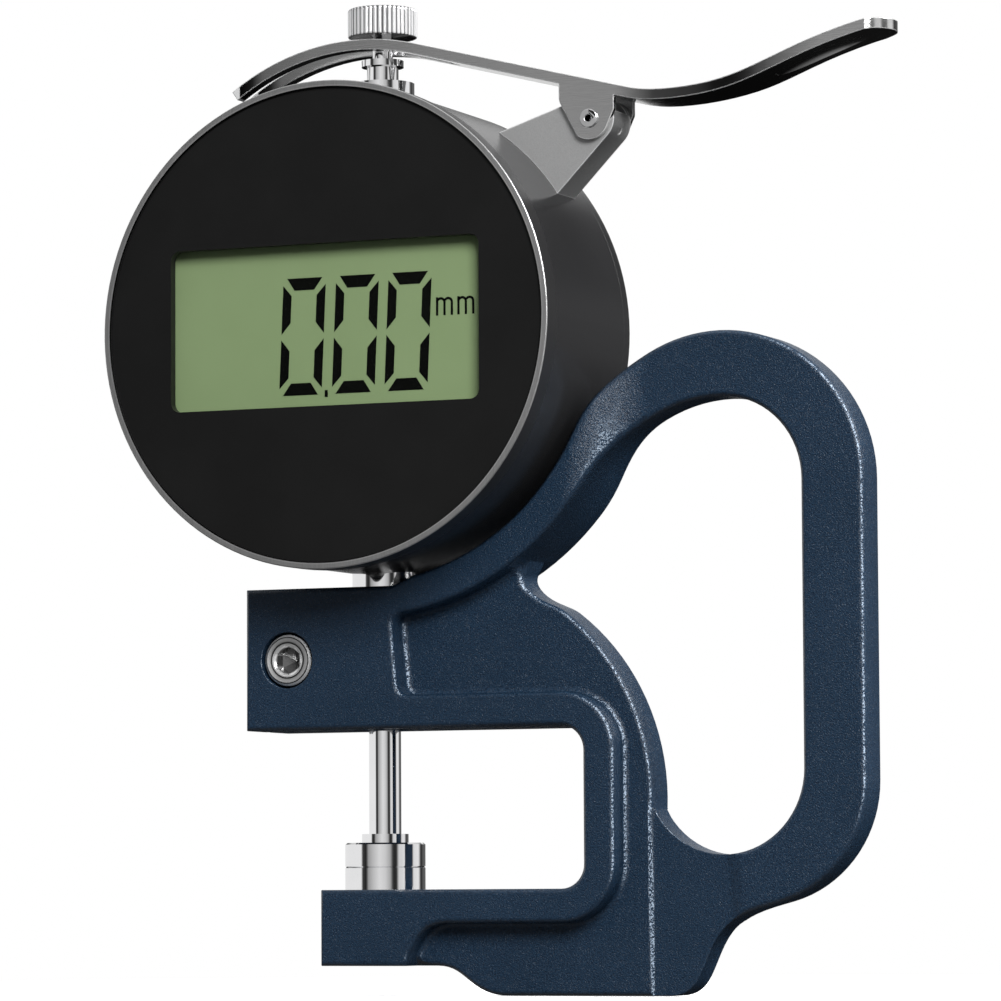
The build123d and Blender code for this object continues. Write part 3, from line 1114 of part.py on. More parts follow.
with BuildSketch(FRONT) as ear_side:
    with BuildLine():
        ear_left = (PIVOT_X - EAR_LEFT, PIVOT_Z + EAR_LEFT_Z)
        ear_right = (PIVOT_X + EAR_RIGHT, PIVOT_Z + EAR_RIGHT_Z)
        left_low = circle_point(PIVOT, EAR_NOSE, EAR_LEFT_ANGLE)
        right_low = circle_point(PIVOT, EAR_NOSE, EAR_RIGHT_ANGLE)
        Polyline(left_low, ear_left, (ear_left[0], strip_height(ear_left[0])),
                 (ear_right[0], strip_height(ear_right[0])), ear_right, right_low)
        CenterArc(PIVOT, EAR_NOSE, EAR_RIGHT_ANGLE, EAR_LEFT_ANGLE - EAR_RIGHT_ANGLE - 360)
    make_face()
    fillet(ear_side.vertices().sort_by_distance(ear_left)[0], EAR_CORNER)

with BuildPart() as lever:
    extrude(ear_side.sketch, amount=LEVER_WIDTH / 2, both=True)
    extrude(ear_side.sketch, amount=LEVER_WIDTH / 2 - EAR_THICKNESS, both=True, mode=Mode.SUBTRACT)
    with BuildSketch(FRONT):
        with Locations(PIVOT):
            Circle(PIN_RADIUS + PRESS)
    extrude(amount=LEVER_WIDTH, both=True, mode=Mode.SUBTRACT)
    extrude(lever_side.sketch, amount=PAD_WIDTH / 2, both=True)
    with BuildSketch(Plane.XY.offset(CASE_TOP)):
        with BuildLine():
            edge = LEVER_WIDTH / 2
            pad_edge = PAD_WIDTH / 2
            flare_start = straight_end[0] + PAD_START
            flare_end = flare_start + PAD_FLARE
            tip = straight_end[0] + PAD_END
            Polyline((flare_start, edge), (-CASE_RADIUS, edge), (-CASE_RADIUS, -edge),
                     (flare_start, -edge))
            Spline((flare_start, -edge), (flare_end, -pad_edge), tangents=[(1, 0), (1, 0)])
            Line((flare_end, -pad_edge), (tip - PAD_CORNER, -pad_edge))
            ThreePointArc((tip - PAD_CORNER, -pad_edge), (tip, 0), (tip - PAD_CORNER, pad_edge))
            Line((tip - PAD_CORNER, pad_edge), (flare_end, pad_edge))
            Spline((flare_end, pad_edge), (flare_start, edge), tangents=[(-1, 0), (-1, 0)])
        make_face()
    extrude(amount=CASE_RADIUS, both=True, mode=Mode.INTERSECT)
    with BuildSketch(Plane.XY.offset(CASE_TOP)):
        with Locations((FORK_END, 0)):
            SlotOverall(2 * CASE_RADIUS, FORK_SLOT, align=(Align.MAX, Align.CENTER))
    extrude(amount=CASE_RADIUS, both=True, mode=Mode.SUBTRACT)
    # A long shallow dimple under the thumb pad
    dimple_along = (cos(radians(DIMPLE_SLOPE)), 0, sin(radians(DIMPLE_SLOPE)))
    dimple_plane = Plane(origin=(straight_end[0] + DIMPLE_X, 0, straight_end[1] + DIMPLE_Z),
                         x_dir=dimple_along, z_dir=(0, -1, 0))
    dimple_left = (-DIMPLE_LENGTH / 2, -half_strip)
    dimple_right = (DIMPLE_LENGTH / 2, -half_strip)
    dimple_axis = -half_strip + DIMPLE_RISE - DIMPLE_ROUND
    with BuildSketch(dimple_plane):
        with BuildLine():
            ThreePointArc(dimple_left, (0, DIMPLE_RISE - half_strip), dimple_right)
            Polyline(dimple_right, (dimple_right[0], dimple_axis), (dimple_left[0], dimple_axis), dimple_left)
        make_face()
    revolve(axis=Axis(dimple_plane.from_local_coords((0, dimple_axis, 0)), dimple_plane.x_dir),
            mode=Mode.SUBTRACT)
lever.part.label = "lever"
export_step(lever.part, "parts/lever.step")
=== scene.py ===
"""A digital thickness gauge: blue cast frame with a loop handle, round display head, flat steel
contacts and a forked steel lifting lever. Sizes are millimetres, turned into metres with MM."""

import math

import bmesh
import bpy
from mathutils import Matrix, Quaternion, Vector


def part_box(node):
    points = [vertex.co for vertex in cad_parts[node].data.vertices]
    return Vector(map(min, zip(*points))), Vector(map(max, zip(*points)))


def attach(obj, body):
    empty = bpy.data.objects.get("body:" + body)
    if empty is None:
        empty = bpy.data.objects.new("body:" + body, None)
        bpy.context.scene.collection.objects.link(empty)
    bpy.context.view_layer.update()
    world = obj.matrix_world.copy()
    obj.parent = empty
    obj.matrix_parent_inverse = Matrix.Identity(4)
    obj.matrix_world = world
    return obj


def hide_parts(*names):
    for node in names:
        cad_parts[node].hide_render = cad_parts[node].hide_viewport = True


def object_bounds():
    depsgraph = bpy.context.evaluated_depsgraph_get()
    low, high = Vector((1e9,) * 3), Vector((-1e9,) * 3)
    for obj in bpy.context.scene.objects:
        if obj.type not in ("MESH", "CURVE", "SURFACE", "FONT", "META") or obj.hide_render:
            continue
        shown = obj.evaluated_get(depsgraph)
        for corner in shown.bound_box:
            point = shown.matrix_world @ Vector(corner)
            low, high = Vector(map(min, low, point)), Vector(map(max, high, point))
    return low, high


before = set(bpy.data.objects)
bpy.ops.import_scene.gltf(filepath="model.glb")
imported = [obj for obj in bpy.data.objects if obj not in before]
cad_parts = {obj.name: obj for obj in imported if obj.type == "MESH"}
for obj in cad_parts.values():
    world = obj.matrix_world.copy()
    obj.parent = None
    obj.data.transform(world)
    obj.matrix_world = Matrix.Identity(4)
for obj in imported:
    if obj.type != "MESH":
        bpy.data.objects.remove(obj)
cad_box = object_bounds()

MM = 0.001
RIGHT = Vector((1, 0, 0))
BACK = Vector((0, 1, 0))
UP = Vector((0, 0, 1))

# Camera: the photograph's viewing angle, with the gauge's middle as the target
TARGET = Vector((15.868, 0.0, 45.01)) * MM
CAMERA_DISTANCE = 642.87 * MM
CAMERA_TURN = math.radians(23.81)
CAMERA_PITCH = math.radians(4.36)
CAMERA_ROLL = math.radians(-0.30)
LENS = 187.0
SENSOR = 36.0

# Display: digit cells, segments and the unit, seen from the front
DIGIT_LEFT = (-6.93, 0.24, 7.33)
DIGIT_BOTTOM = 57.60
DIGIT_WIDTH = 5.78
DIGIT_HEIGHT = 14.45
DIGIT_SLANT = 0.045
BAR_HEIGHT = 1.50
BAR_WIDTH = 1.18
BAR_INSET = 0.50
BAR_MITRE = 1.05
SIDE_START = 0.86
SIDE_MITRE = 1.30
MIDDLE_GAP = 0.34
MIDDLE_MITRE = 1.40
POINT_LEFT = -0.72
POINT_BOTTOM = 57.25
POINT_WIDTH = 0.42
POINT_HEIGHT = 0.86
UNIT_LEFT = 14.30
UNIT_BOTTOM = 66.52
UNIT_PITCH = 2.84
LETTER_HEIGHT = 2.22
LETTER_STROKE = 0.30
LETTER_ARCH = 0.98
ARCH_SPAN = 150
ARCH_STEP = 15
INK = 0.02
INK_GAP = 0.015
PANE_GAP = 0.05

# Lifting knob: its flutes fade out over the rim, a ring inside the crests
KNOB_FLUTES = 44
KNOB_ROUND = 0.30
KNOB_NECK = 1.3
KNOB_RIM = 0.8
FLUTE_DEPTH = 0.16
FLUTE_STEPS = 6
FLUTE_SHARPNESS = 1.5

# Clamp screw: its hexagon across the flats, how deep the socket, the drilled cone and the head reach, and
# the radius of its shank
CLAMP_HEX = 3.0
CLAMP_SOCKET = 1.85
CLAMP_DRILLED = 2.75
CLAMP_HEAD = 3.8
CLAMP_SHANK = 2.0

# Back cover screws: the same, but the countersunk head is given by its radius
COVER_HEX = 1.3
COVER_SOCKET = 0.90
COVER_DRILLED = 1.05
COVER_HEAD = 1.9
COVER_SHANK = 1.0

# Facets round a turned screw, and the sharpest bend that a new piece shows as smooth
CLAMP_FACETS = 48
COVER_FACETS = 24
SMOOTH_ANGLE = math.radians(35)

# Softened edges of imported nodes: how near points join, and the bend below which faces count as one
JOIN_REACH = 0.002
FLAT_ANGLE = math.radians(0.3)

# Brushed and wiped metal: how far its lines are drawn out along an axis, and how close they lie
ALONG_X = (1.0, 30.0, 30.0)
ALONG_Z = (30.0, 30.0, 1.0)
WIPED = (20.0, 20.0, 1.0)
BRUSHED_LINES = 260.0
WIPED_LINES = 300.0

# Powder coat: its grain, the rounding of its edges, and light dots painted on them as a highlight. They
# start and end as the edge turns to the front, and there are more of them towards the handle and upwards,
# the way the lamps light the edges.
COAT_GRAINS = 5200.0
COAT_ROUNDING = 0.20
DOTS_START = (0.42, 0.56)
DOTS_END = (0.80, 0.90)
DOTS_TO_HANDLE = (0.15, 0.55, 0.05, 0.78)
DOTS_UPWARDS = (-0.30, -0.05)
SPARKLE_SHARE = 0.12

# Grey tones from 0 to 255. Bezel: width of its face, how far back that face reaches, and its tones from
# the inner edge (0) to the outer one (1), where a dark ring of painted shadow lies at the inner edge with a
# ring of painted highlight beside it. Screw: tones from the middle (0) to the head's rim (1), where the dark
# rings are painted shade and the lightest, round the hexagon and at the rim, painted highlight.
BEZEL_FACE = 0.9
BEZEL_FRONT = (0.10, 0.16)
BEZEL_TONES_WITH_PAINTED_LIGHT = ((0.0, 10), (0.14, 10), (0.20, 254), (0.30, 254), (0.38, 228), (0.86, 228), (0.92, 190),
               (1.0, 190))
SCREW_TONES_WITH_PAINTED_LIGHT = ((0.0, 120), (0.50, 120), (0.53, 254), (0.64, 254), (0.67, 30), (0.70, 60), (0.75, 215),
               (0.85, 235), (0.885, 30), (0.905, 30), (0.92, 254), (0.98, 254), (1.0, 90))

# Lever: tones by the distance from the spindle, which are painted reflections and shade, where the painted
# highlight on the tips of its fork stops, the reach of its bright edges, which are painted highlight, how
# far a face has to look up before it is rougher and painted darker as shade, and how far back before it is
# less metallic
LEVER_PAINTED_REFLECTIONS = ((-20.0, 252), (-18.5, 252), (-18.3, 20), (-16.6, 60), (-15.0, 190), (-8.0, 222),
               (8.0, 228), (24.0, 228), (33.0, 222), (38.0, 105), (46.0, 70), (53.0, 140), (60.0, 225),
               (69.0, 225))
LEVER_TIPS = (-18.4, -18.3)
LEVER_EDGE = 0.30
LEVER_ROUNDING = 0.20
LEVER_UP = (0.4, 0.8)
LEVER_BACK = (0.3, 0.7)

# Bracket: how far behind its front face the sides are painted darker as shade, and the reach of its white
# edges, which are wear and painted highlight together
BRACKET_FRONT = (0.05, 0.12)
BRACKET_EDGE = 0.34

# Rounded edges of all finely textured metal
TEXTURE_ROUNDING = 0.16

# Studio as shiny metal sees it. Heights run from straight below (0) to straight above (1), angles in
# degrees from the front towards the handle. On top of a level by height come panels: those at eye level
# give the front view its light and dark bands, one behind and above lights the case's shoulder, and those
# at the sides keep the metal pale when it is seen from the sides and the back.
STUDIO_HEIGHTS = ((0.0, 0.35), (0.12, 0.30), (0.20, 0.008), (0.40, 0.008), (0.48, 0.0), (0.72, 0.03),
                  (0.77, 0.7), (1.0, 1.1))
EYE_ROUND = ((-180, 0.15), (-172, 0.15), (-166, 1.0), (-49, 1.0), (-44, 0.06), (-33, 0.015), (-29, 0.12),
             (-25, 0.40), (-12, 0.62), (8, 0.90), (24, 0.78), (38, 0.50), (45, 0.08), (49, 0.025),
             (57, 0.03), (61, 0.40), (64, 0.80), (83, 0.93), (87, 0.25), (90, 0.03), (105, 0.025),
             (109, 0.15), (113, 0.9), (134, 1.0), (140, 0.5), (145, 0.06), (151, 0.03), (165, 0.12),
             (180, 0.15))
EYE_BAND = ((0.0, 0.0), (0.478, 0.0), (0.493, 1.0), (0.585, 1.0), (0.615, 0.0))
SHOULDER_ROUND = ((-180, 0.5), (-176, 1.0), (-152, 1.0), (-146, 0.0), (177, 0.0), (180, 0.5))
SHOULDER_BAND = ((0.0, 0.0), (0.63, 0.0), (0.655, 1.0), (0.74, 1.0), (0.78, 0.0))
SIDE_ROUND = ((-180, 0.0), (-140, 0.0), (-125, 1.0), (-75, 1.0), (-60, 0.0), (12, 0.0), (28, 1.0),
              (130, 1.0), (145, 0.0), (180, 0.0))
SIDE_BAND = ((0.0, 0.0), (0.18, 0.0), (0.26, 0.55), (0.44, 0.60), (0.478, 0.0), (0.58, 0.0), (0.61, 0.4),
             (0.72, 0.5), (0.78, 0.0), (1.0, 0.0))
PANELS = ((EYE_ROUND, EYE_BAND), (SHOULDER_ROUND, SHOULDER_BAND), (SIDE_ROUND, SIDE_BAND))

# Soft light of the surroundings: the heights between which it grows, from -1 straight below to 1 straight
# above, and its level at each
SOFT_HEIGHTS = (-0.5, 0.9)
SOFT_LEVELS = (0.04, 0.42)

# Floor: its half width and where it fades, in metres, its middle, and its drop below the foot. It is pale
# to the eye and darker as the gauge sees it.
FLOOR_REACH = 0.4
FLOOR_FADE = (0.05, 0.16)
FLOOR_MIDDLE = 28
FLOOR_DROP = 0.05
FLOOR_PALE = (0.95, 0.95, 0.95, 1.0)
FLOOR_DARK = (0.12, 0.12, 0.12, 1.0)
FLOOR_GLOW = 0.6

# Lamps: their distance from the gauge's middle, in metres
LAMP_DISTANCE = 0.9

# How many directions the shader tries when it rounds an edge
BEVEL_SAMPLES = 6

WHITE = (1.0, 1.0, 1.0, 1.0)


def srgb(red, green, blue):
    """A colour from its screen values, 0 to 255."""
    def channel(value):
        value /= 255
        return value / 12.92 if value <= 0.04045 else ((value + 0.055) / 1.055) ** 2.4
    return (channel(red), channel(green), channel(blue), 1.0)


def grey(level):
    """A grey from its screen value, 0 to 255."""
    return srgb(level, level, level)


# Shader nodes, one call for each; all but feed and parts return the socket that carries the result

def feed(tree, socket, value):
    """Gives a socket another socket's value, or a plain number, vector or colour."""
    if isinstance(value, (int, float, tuple)):
        socket.default_value = value
    else:
        tree.links.new(value, socket)


def spread(tree, value, low, high, to_low=0.0, to_high=1.0):
    """Maps a value between two limits onto another range."""
    node = tree.nodes.new("ShaderNodeMapRange")
    node.inputs["From Min"].default_value = low
    node.inputs["From Max"].default_value = high
    node.inputs["To Min"].default_value = to_low
    node.inputs["To Max"].default_value = to_high
    tree.links.new(value, node.inputs["Value"])
    return node.outputs["Result"]


def between(tree, mask, first, second):
    """The first number where the mask is 0 and the second where it is 1."""
    return spread(tree, mask, 0.0, 1.0, first, second)


def varied(tree, mask, level, share):
    """A level that grows with a mask, from a share of itself less to that share more."""
    return between(tree, mask, level * (1 - share), level * (1 + share))


def calculate(tree, operation, first, second):
    """A calculation with two sockets or numbers."""
    node = tree.nodes.new("ShaderNodeMath")
    node.operation = operation
    feed(tree, node.inputs[0], first)
    feed(tree, node.inputs[1], second)
    return node.outputs["Value"]


def measure(tree, operation, first, second=(0.0, 0.0, 0.0)):
    """A vector calculation whose result is a vector for MULTIPLY and a number for the others."""
    node = tree.nodes.new("ShaderNodeVectorMath")
    node.operation = operation
    feed(tree, node.inputs[0], first)
    feed(tree, node.inputs[1], second)
    return node.outputs["Vector" if operation == "MULTIPLY" else "Value"]


def parts(tree, vector):
    """The x, y and z of a vector."""
    node = tree.nodes.new("ShaderNodeSeparateXYZ")
    tree.links.new(vector, node.inputs["Vector"])
    return node.outputs


def noise(tree, vector, scale, detail, roughness):
    """A soft random pattern, from 0 to 1."""
    node = tree.nodes.new("ShaderNodeTexNoise")
    node.inputs["Detail"].default_value = detail
    node.inputs["Roughness"].default_value = roughness
    tree.links.new(vector, node.inputs["Vector"])
    feed(tree, node.inputs["Scale"], scale)
    return node.outputs["Fac"]


def cells(tree, vector, scale):
    """A random colour for each of many small cells."""
    node = tree.nodes.new("ShaderNodeTexVoronoi")
    tree.links.new(vector, node.inputs["Vector"])
    feed(tree, node.inputs["Scale"], scale)
    return node.outputs["Color"]


def object_place(tree):
    """The point's place on the gauge, in metres."""
    return tree.nodes.new("ShaderNodeTexCoord").outputs["Object"]


def ramp(tree, value, stops):
    """A grey level that follows (position, level) stops as the value goes from 0 to 1."""
    node = tree.nodes.new("ShaderNodeValToRGB")
    elements = node.color_ramp.elements
    while len(elements) < len(stops):
        elements.new(1.0)
    for element, (position, level) in zip(elements, stops):
        element.position = position
        element.color = (level, level, level, 1.0)
    tree.links.new(value, node.inputs["Fac"])
    return node.outputs["Color"]


def two_tone(tree, mask, first, second):
    """The first colour where the mask is 0 and the second where it is 1."""
    node = tree.nodes.new("ShaderNodeMix")
    node.data_type = "RGBA"
    feed(tree, node.inputs["A"], first)
    feed(tree, node.inputs["B"], second)
    tree.links.new(mask, node.inputs["Factor"])
    return node.outputs["Result"]


def rounded_edges(tree, radius):
    """The surface's direction with its sharp edges rounded."""
    node = tree.nodes.new("ShaderNodeBevel")
    node.samples = BEVEL_SAMPLES
    feed(tree, node.inputs["Radius"], radius)
    return node.outputs["Normal"]


def bumped(tree, height, distance, strength=1.0, under=None):
    """The surface's direction over a fine relief, whose height is given as a distance in metres."""
    node = tree.nodes.new("ShaderNodeBump")
    if under:
        tree.links.new(under, node.inputs["Normal"])
    node.inputs["Strength"].default_value = strength
    node.inputs["Distance"].default_value = distance
    tree.links.new(height, node.inputs["Height"])
    return node.outputs["Normal"]


# Effects that finishes share, as shader node groups

def new_group(name, inputs, outputs):
    """An empty node group with (label, kind, value) inputs and number outputs, and its two end nodes."""
    group = bpy.data.node_groups.new(name, "ShaderNodeTree")
    for label, kind, value in inputs:
        group.interface.new_socket(label, in_out="INPUT", socket_type=kind).default_value = value
    for label in outputs:
        group.interface.new_socket(label, in_out="OUTPUT", socket_type="NodeSocketFloat")
    return group, group.nodes.new("NodeGroupInput"), group.nodes.new("NodeGroupOutput")


def coat_grain_group():
    """Pebbled surface of a powder coat: its height, the few flakes that sparkle, and closer dots."""
    group, start, end = new_group(
        "coat_grain", [("Grains per metre", "NodeSocketFloat", 2400.0)], ["Height", "Sparkle", "Dots"])
    place = object_place(group)
    grains = start.outputs["Grains per metre"]
    coarse = noise(group, place, grains, detail=1.5, roughness=0.55)
    fine = noise(group, place, calculate(group, "MULTIPLY", grains, 2.3), detail=1.0, roughness=0.5)
    height = calculate(group, "ADD", coarse, calculate(group, "MULTIPLY", fine, 0.45))
    group.links.new(height, end.inputs["Height"])
    flakes = cells(group, place, calculate(group, "MULTIPLY", grains, 1.6))
    group.links.new(spread(group, flakes, 0.80, 0.97), end.inputs["Sparkle"])
    dots = cells(group, place, calculate(group, "MULTIPLY", grains, 1.35))
    group.links.new(spread(group, dots, 0.50, 0.66), end.inputs["Dots"])
    return group


def patches_group():
    """Broad soft patches, such as handling leaves on a finish."""
    group, start, end = new_group("patches", [("Patches per metre", "NodeSocketFloat", 60.0)], ["Amount"])
    cloud = noise(group, object_place(group), start.outputs["Patches per metre"], detail=3.0, roughness=0.6)
    group.links.new(spread(group, cloud, 0.35, 0.65), end.inputs["Amount"])
    return group


def brushing_group():
    """Fine straight lines that a belt or a wheel leaves on metal, stretched along one axis."""
    group, start, end = new_group(
        "brushing", [("Stretch", "NodeSocketVector", ALONG_X),
                     ("Lines per metre", "NodeSocketFloat", 200.0)], ["Lines"])
    stretched = measure(group, "MULTIPLY", object_place(group), start.outputs["Stretch"])
    lines = noise(group, stretched, start.outputs["Lines per metre"], detail=3.0, roughness=0.6)
    group.links.new(spread(group, lines, 0.3, 0.7), end.inputs["Lines"])
    return group


def speckle_group():
    """Very fine even texture, as blasted metal or moulded plastic has."""
    group, start, end = new_group(
        "speckle", [("Specks per metre", "NodeSocketFloat", 6000.0)], ["Height"])
    specks = start.outputs["Specks per metre"]
    height = noise(group, object_place(group), specks, detail=1.0, roughness=0.5)
    group.links.new(height, end.inputs["Height"])
    return group


def edges_group():
    """Mask of a piece's sharp edges: 1 along them, 0 a short way in."""
    group, start, end = new_group("edges", [("Reach", "NodeSocketFloat", 0.0002)], ["Mask"])
    flat = group.nodes.new("ShaderNodeNewGeometry").outputs["Normal"]
    alike = measure(group, "DOT_PRODUCT", rounded_edges(group, start.outputs["Reach"]), flat)
    group.links.new(spread(group, alike, 0.88, 0.955, 1.0, 0.0), end.inputs["Mask"])
    return group


EDGES = edges_group()
GRAIN = coat_grain_group()
PATCHES = patches_group()
BRUSHING = brushing_group()
SPECKLE = speckle_group()


def effect(tree, group, **values):
    """A shared effect placed in a material with its own values."""
    node = tree.nodes.new("ShaderNodeGroup")
    node.node_tree = group
    for label, value in values.items():
        node.inputs[label.replace("_", " ")].default_value = value
    return node.outputs


# The effects in a material, one call for each

def patches_over(tree, per_metre):
    return effect(tree, PATCHES, Patches_per_metre=per_metre)["Amount"]


def speckle_over(tree, per_metre):
    return effect(tree, SPECKLE, Specks_per_metre=per_metre)["Height"]


def lines_over(tree, stretch, per_metre=BRUSHED_LINES):
    return effect(tree, BRUSHING, Stretch=stretch, Lines_per_metre=per_metre)["Lines"]


def sharp_edges(tree, reach):
    return effect(tree, EDGES, Reach=reach * MM)["Mask"]


# Finishes

def new_material(name, roughness, metallic=0.0, specular=0.5):
    """A material with one Principled shader whose plain values are set on its own sockets."""
    material = bpy.data.materials.new(name)
    material.use_nodes = True
    tree = material.node_tree
    shader = tree.nodes["Principled BSDF"].inputs
    shader["Roughness"].default_value = roughness
    shader["Metallic"].default_value = metallic
    shader["Specular IOR Level"].default_value = specular
    return material, tree, shader


def powder_coat():
    """Dark blue textured powder coat with fine grain and sparkling flakes, and light dots painted along its
    edges as a highlight.
    """
    material, tree, shader = new_material("blue_powder_coat", roughness=0.3, specular=0.35)
    grain = effect(tree, GRAIN, Grains_per_metre=COAT_GRAINS)
    coat = two_tone(tree, patches_over(tree, per_metre=70.0), srgb(35, 58, 80), srgb(40, 63, 86))
    pitted = two_tone(tree, spread(tree, grain["Height"], 0.50, 0.86), srgb(12, 27, 46), coat)
    rounded = rounded_edges(tree, COAT_ROUNDING * MM)
    facing = parts(tree, rounded)
    front = calculate(tree, "ABSOLUTE", facing["Y"], 0.0)
    turned = calculate(tree, "MULTIPLY", spread(tree, front, *DOTS_START),
                       spread(tree, front, *DOTS_END, 1.0, 0.0))
    # Painted highlight: light dots along edges that turn towards the handle and upwards, where the lamps
    # light them.
    handle_side = calculate(tree, "MULTIPLY", spread(tree, facing["X"], *DOTS_TO_HANDLE),
                            spread(tree, facing["Z"], *DOTS_UPWARDS))
    painted_edge_highlight = calculate(tree, "MULTIPLY", turned, handle_side)
    # The flakes that sparkle are the coat's own; the dots on the edges are painted highlight.
    flakes = calculate(tree, "MAXIMUM", calculate(tree, "MULTIPLY", grain["Sparkle"], SPARKLE_SHARE),
                       calculate(tree, "MULTIPLY", grain["Dots"], painted_edge_highlight))
    feed(tree, shader["Base Color"], two_tone(tree, flakes, pitted, srgb(198, 218, 240)))
    feed(tree, shader["Metallic"], between(tree, grain["Sparkle"], 0.0, 0.2))
    feed(tree, shader["Roughness"], spread(tree, grain["Height"], 0.3, 1.1, 0.36, 0.22))
    feed(tree, shader["Normal"], bumped(tree, grain["Height"], 0.08 * MM, under=rounded))
    return material


def satin_metal(name, dark, light, stretch, roughness, metallic=1.0):
    """Bare metal with a fine directional finish."""
    material, tree, shader = new_material(name, roughness, metallic=metallic)
    lines = lines_over(tree, stretch)
    feed(tree, shader["Base Color"], two_tone(tree, lines, dark, light))
    patches = patches_over(tree, per_metre=90.0)
    feed(tree, shader["Roughness"], varied(tree, patches, roughness, share=0.12))
    feed(tree, shader["Normal"], bumped(tree, lines, 0.004 * MM, strength=0.6))
    return material


def lever_steel():
    """Satin steel with painted reflections: a grey that changes along the lever, and its edges and fork tips
    made white as painted highlight. Its faces that look up are rougher and painted darker as shade, and
    those that look back are less metallic."""
    roughness = 0.14
    material, tree, shader = new_material("lever_steel", roughness, metallic=1.0)
    along = parts(tree, object_place(tree))["X"]
    start, end = LEVER_PAINTED_REFLECTIONS[0][0], LEVER_PAINTED_REFLECTIONS[-1][0]
    stops = [((x - start) / (end - start), grey(level)[0]) for x, level in LEVER_PAINTED_REFLECTIONS]
    # Painted reflections: this grey along the lever stands in for the light and dark that its faces reflect.
    painted_reflection_tone = ramp(tree, spread(tree, along, start * MM, end * MM), stops)
    lines = lines_over(tree, ALONG_X)
    streaks_and_painted_reflection = calculate(tree, "MULTIPLY", painted_reflection_tone, varied(tree, lines, 1.0, share=0.08))
    # Painted highlight: the fork's tips and the edges are made white, and less metallic so that the white
    # shows.
    tips = spread(tree, along, LEVER_TIPS[0] * MM, LEVER_TIPS[1] * MM, 1.0, 0.0)
    painted_highlights = calculate(tree, "MAXIMUM", sharp_edges(tree, LEVER_EDGE), tips)
    facing = parts(tree, tree.nodes.new("ShaderNodeNewGeometry").outputs["True Normal"])
    # Painted shade: faces that look up are made darker, as well as rougher.
    upward_painted_shade = spread(tree, facing["Z"], *LEVER_UP)
    steel = calculate(tree, "MAXIMUM", streaks_and_painted_reflection, painted_highlights)
    feed(tree, shader["Base Color"], calculate(tree, "MULTIPLY", steel, between(tree, upward_painted_shade, 1.0, 0.42)))
    less_metal_under_highlights = between(tree, painted_highlights, 1.0, 0.3)
    rear = spread(tree, facing["Y"], *LEVER_BACK, 1.0, 0.4)
    feed(tree, shader["Metallic"], calculate(tree, "MINIMUM", less_metal_under_highlights, rear))
    polish = varied(tree, lines, roughness, share=0.15)
    dulled = calculate(tree, "MULTIPLY", upward_painted_shade, 0.34)
    feed(tree, shader["Roughness"], calculate(tree, "ADD", polish, dulled))
    rounded = rounded_edges(tree, LEVER_ROUNDING * MM)
    feed(tree, shader["Normal"], bumped(tree, lines, 0.003 * MM, strength=0.5, under=rounded))
    return material


def grey_rings(tree, node, inner, outer, tones):
    """Grey rings round the front-to-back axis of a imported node: (share of the way from inner to outer,
    level) pairs."""
    low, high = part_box(node)
    middle = (low + high) / 2
    upright = measure(tree, "MULTIPLY", object_place(tree), (1.0, 0.0, 1.0))
    distance = measure(tree, "DISTANCE", upright, (middle.x, 0.0, middle.z))
    stops = [(position, grey(level)[0]) for position, level in tones]
    return ramp(tree, spread(tree, distance, inner, outer), stops)


def front_face(tree, node, limits):
    """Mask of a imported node's front: 1 on it, 0 from the second limit behind it."""
    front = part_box(node)[0].y
    start, end = limits
    depth = parts(tree, object_place(tree))["Y"]
    return spread(tree, depth, front + start * MM, front + end * MM, 1.0, 0.0)


def half_width(node):
    """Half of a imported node's width from left to right, in metres."""
    low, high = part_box(node)
    return (high.x - low.x) / 2


def turned_screw():
    """Light head of the clamp screw in turned grey rings: its dark rings are painted shade, and its lightest
    rings, round the hexagon and at the rim, painted highlight.
    """
    material, tree, shader = new_material("bright_screw", roughness=0.20, metallic=0.6)
    rings = grey_rings(tree, "clamp_screw", 0.0, half_width("clamp_screw"), SCREW_TONES_WITH_PAINTED_LIGHT)
    lines = lines_over(tree, ALONG_X)
    turned = calculate(tree, "MULTIPLY", rings, varied(tree, lines, 1.0, share=0.06))
    # Painted light in the rings: the dark rings are painted shade, and the lightest rings, round the hexagon
    # and at the rim, painted highlight.
    feed(tree, shader["Base Color"], turned)
    feed(tree, shader["Roughness"], between(tree, lines, 0.17, 0.23))
    return material


def turned_bezel():
    """Turned bezel ring: satin face between a light inner ring of painted highlight and the outer turned
    edge, a dark ring of painted shadow inside, and a dark side.
    """
    outer = half_width("bezel_ring")
    material, tree, shader = new_material("turned_bezel", roughness=0.32)
    rings = grey_rings(tree, "bezel_ring", outer - BEZEL_FACE * MM, outer, BEZEL_TONES_WITH_PAINTED_LIGHT)
    lines = lines_over(tree, ALONG_Z)
    turned = calculate(tree, "MULTIPLY", rings, varied(tree, lines, 1.0, share=0.06))
    face = front_face(tree, "bezel_ring", BEZEL_FRONT)
    # Painted light in the rings: the dark ring at the inner edge is painted shadow, the light ring next to
    # it painted highlight.
    feed(tree, shader["Base Color"], two_tone(tree, face, srgb(38, 38, 39), turned))
    feed(tree, shader["Metallic"], face)
    feed(tree, shader["Roughness"], between(tree, lines, 0.29, 0.35))
    return material


def polished_metal(name, colour, roughness):
    """Chromed or lapped steel with slight wiping marks."""
    material, tree, shader = new_material(name, roughness, metallic=1.0)
    dull = tuple(0.96 * channel for channel in colour[:3]) + (1.0,)
    feed(tree, shader["Base Color"], two_tone(tree, patches_over(tree, per_metre=150.0), colour, dull))
    lines = lines_over(tree, WIPED, WIPED_LINES)
    feed(tree, shader["Roughness"], between(tree, lines, roughness * 0.7, roughness * 1.4))
    return material


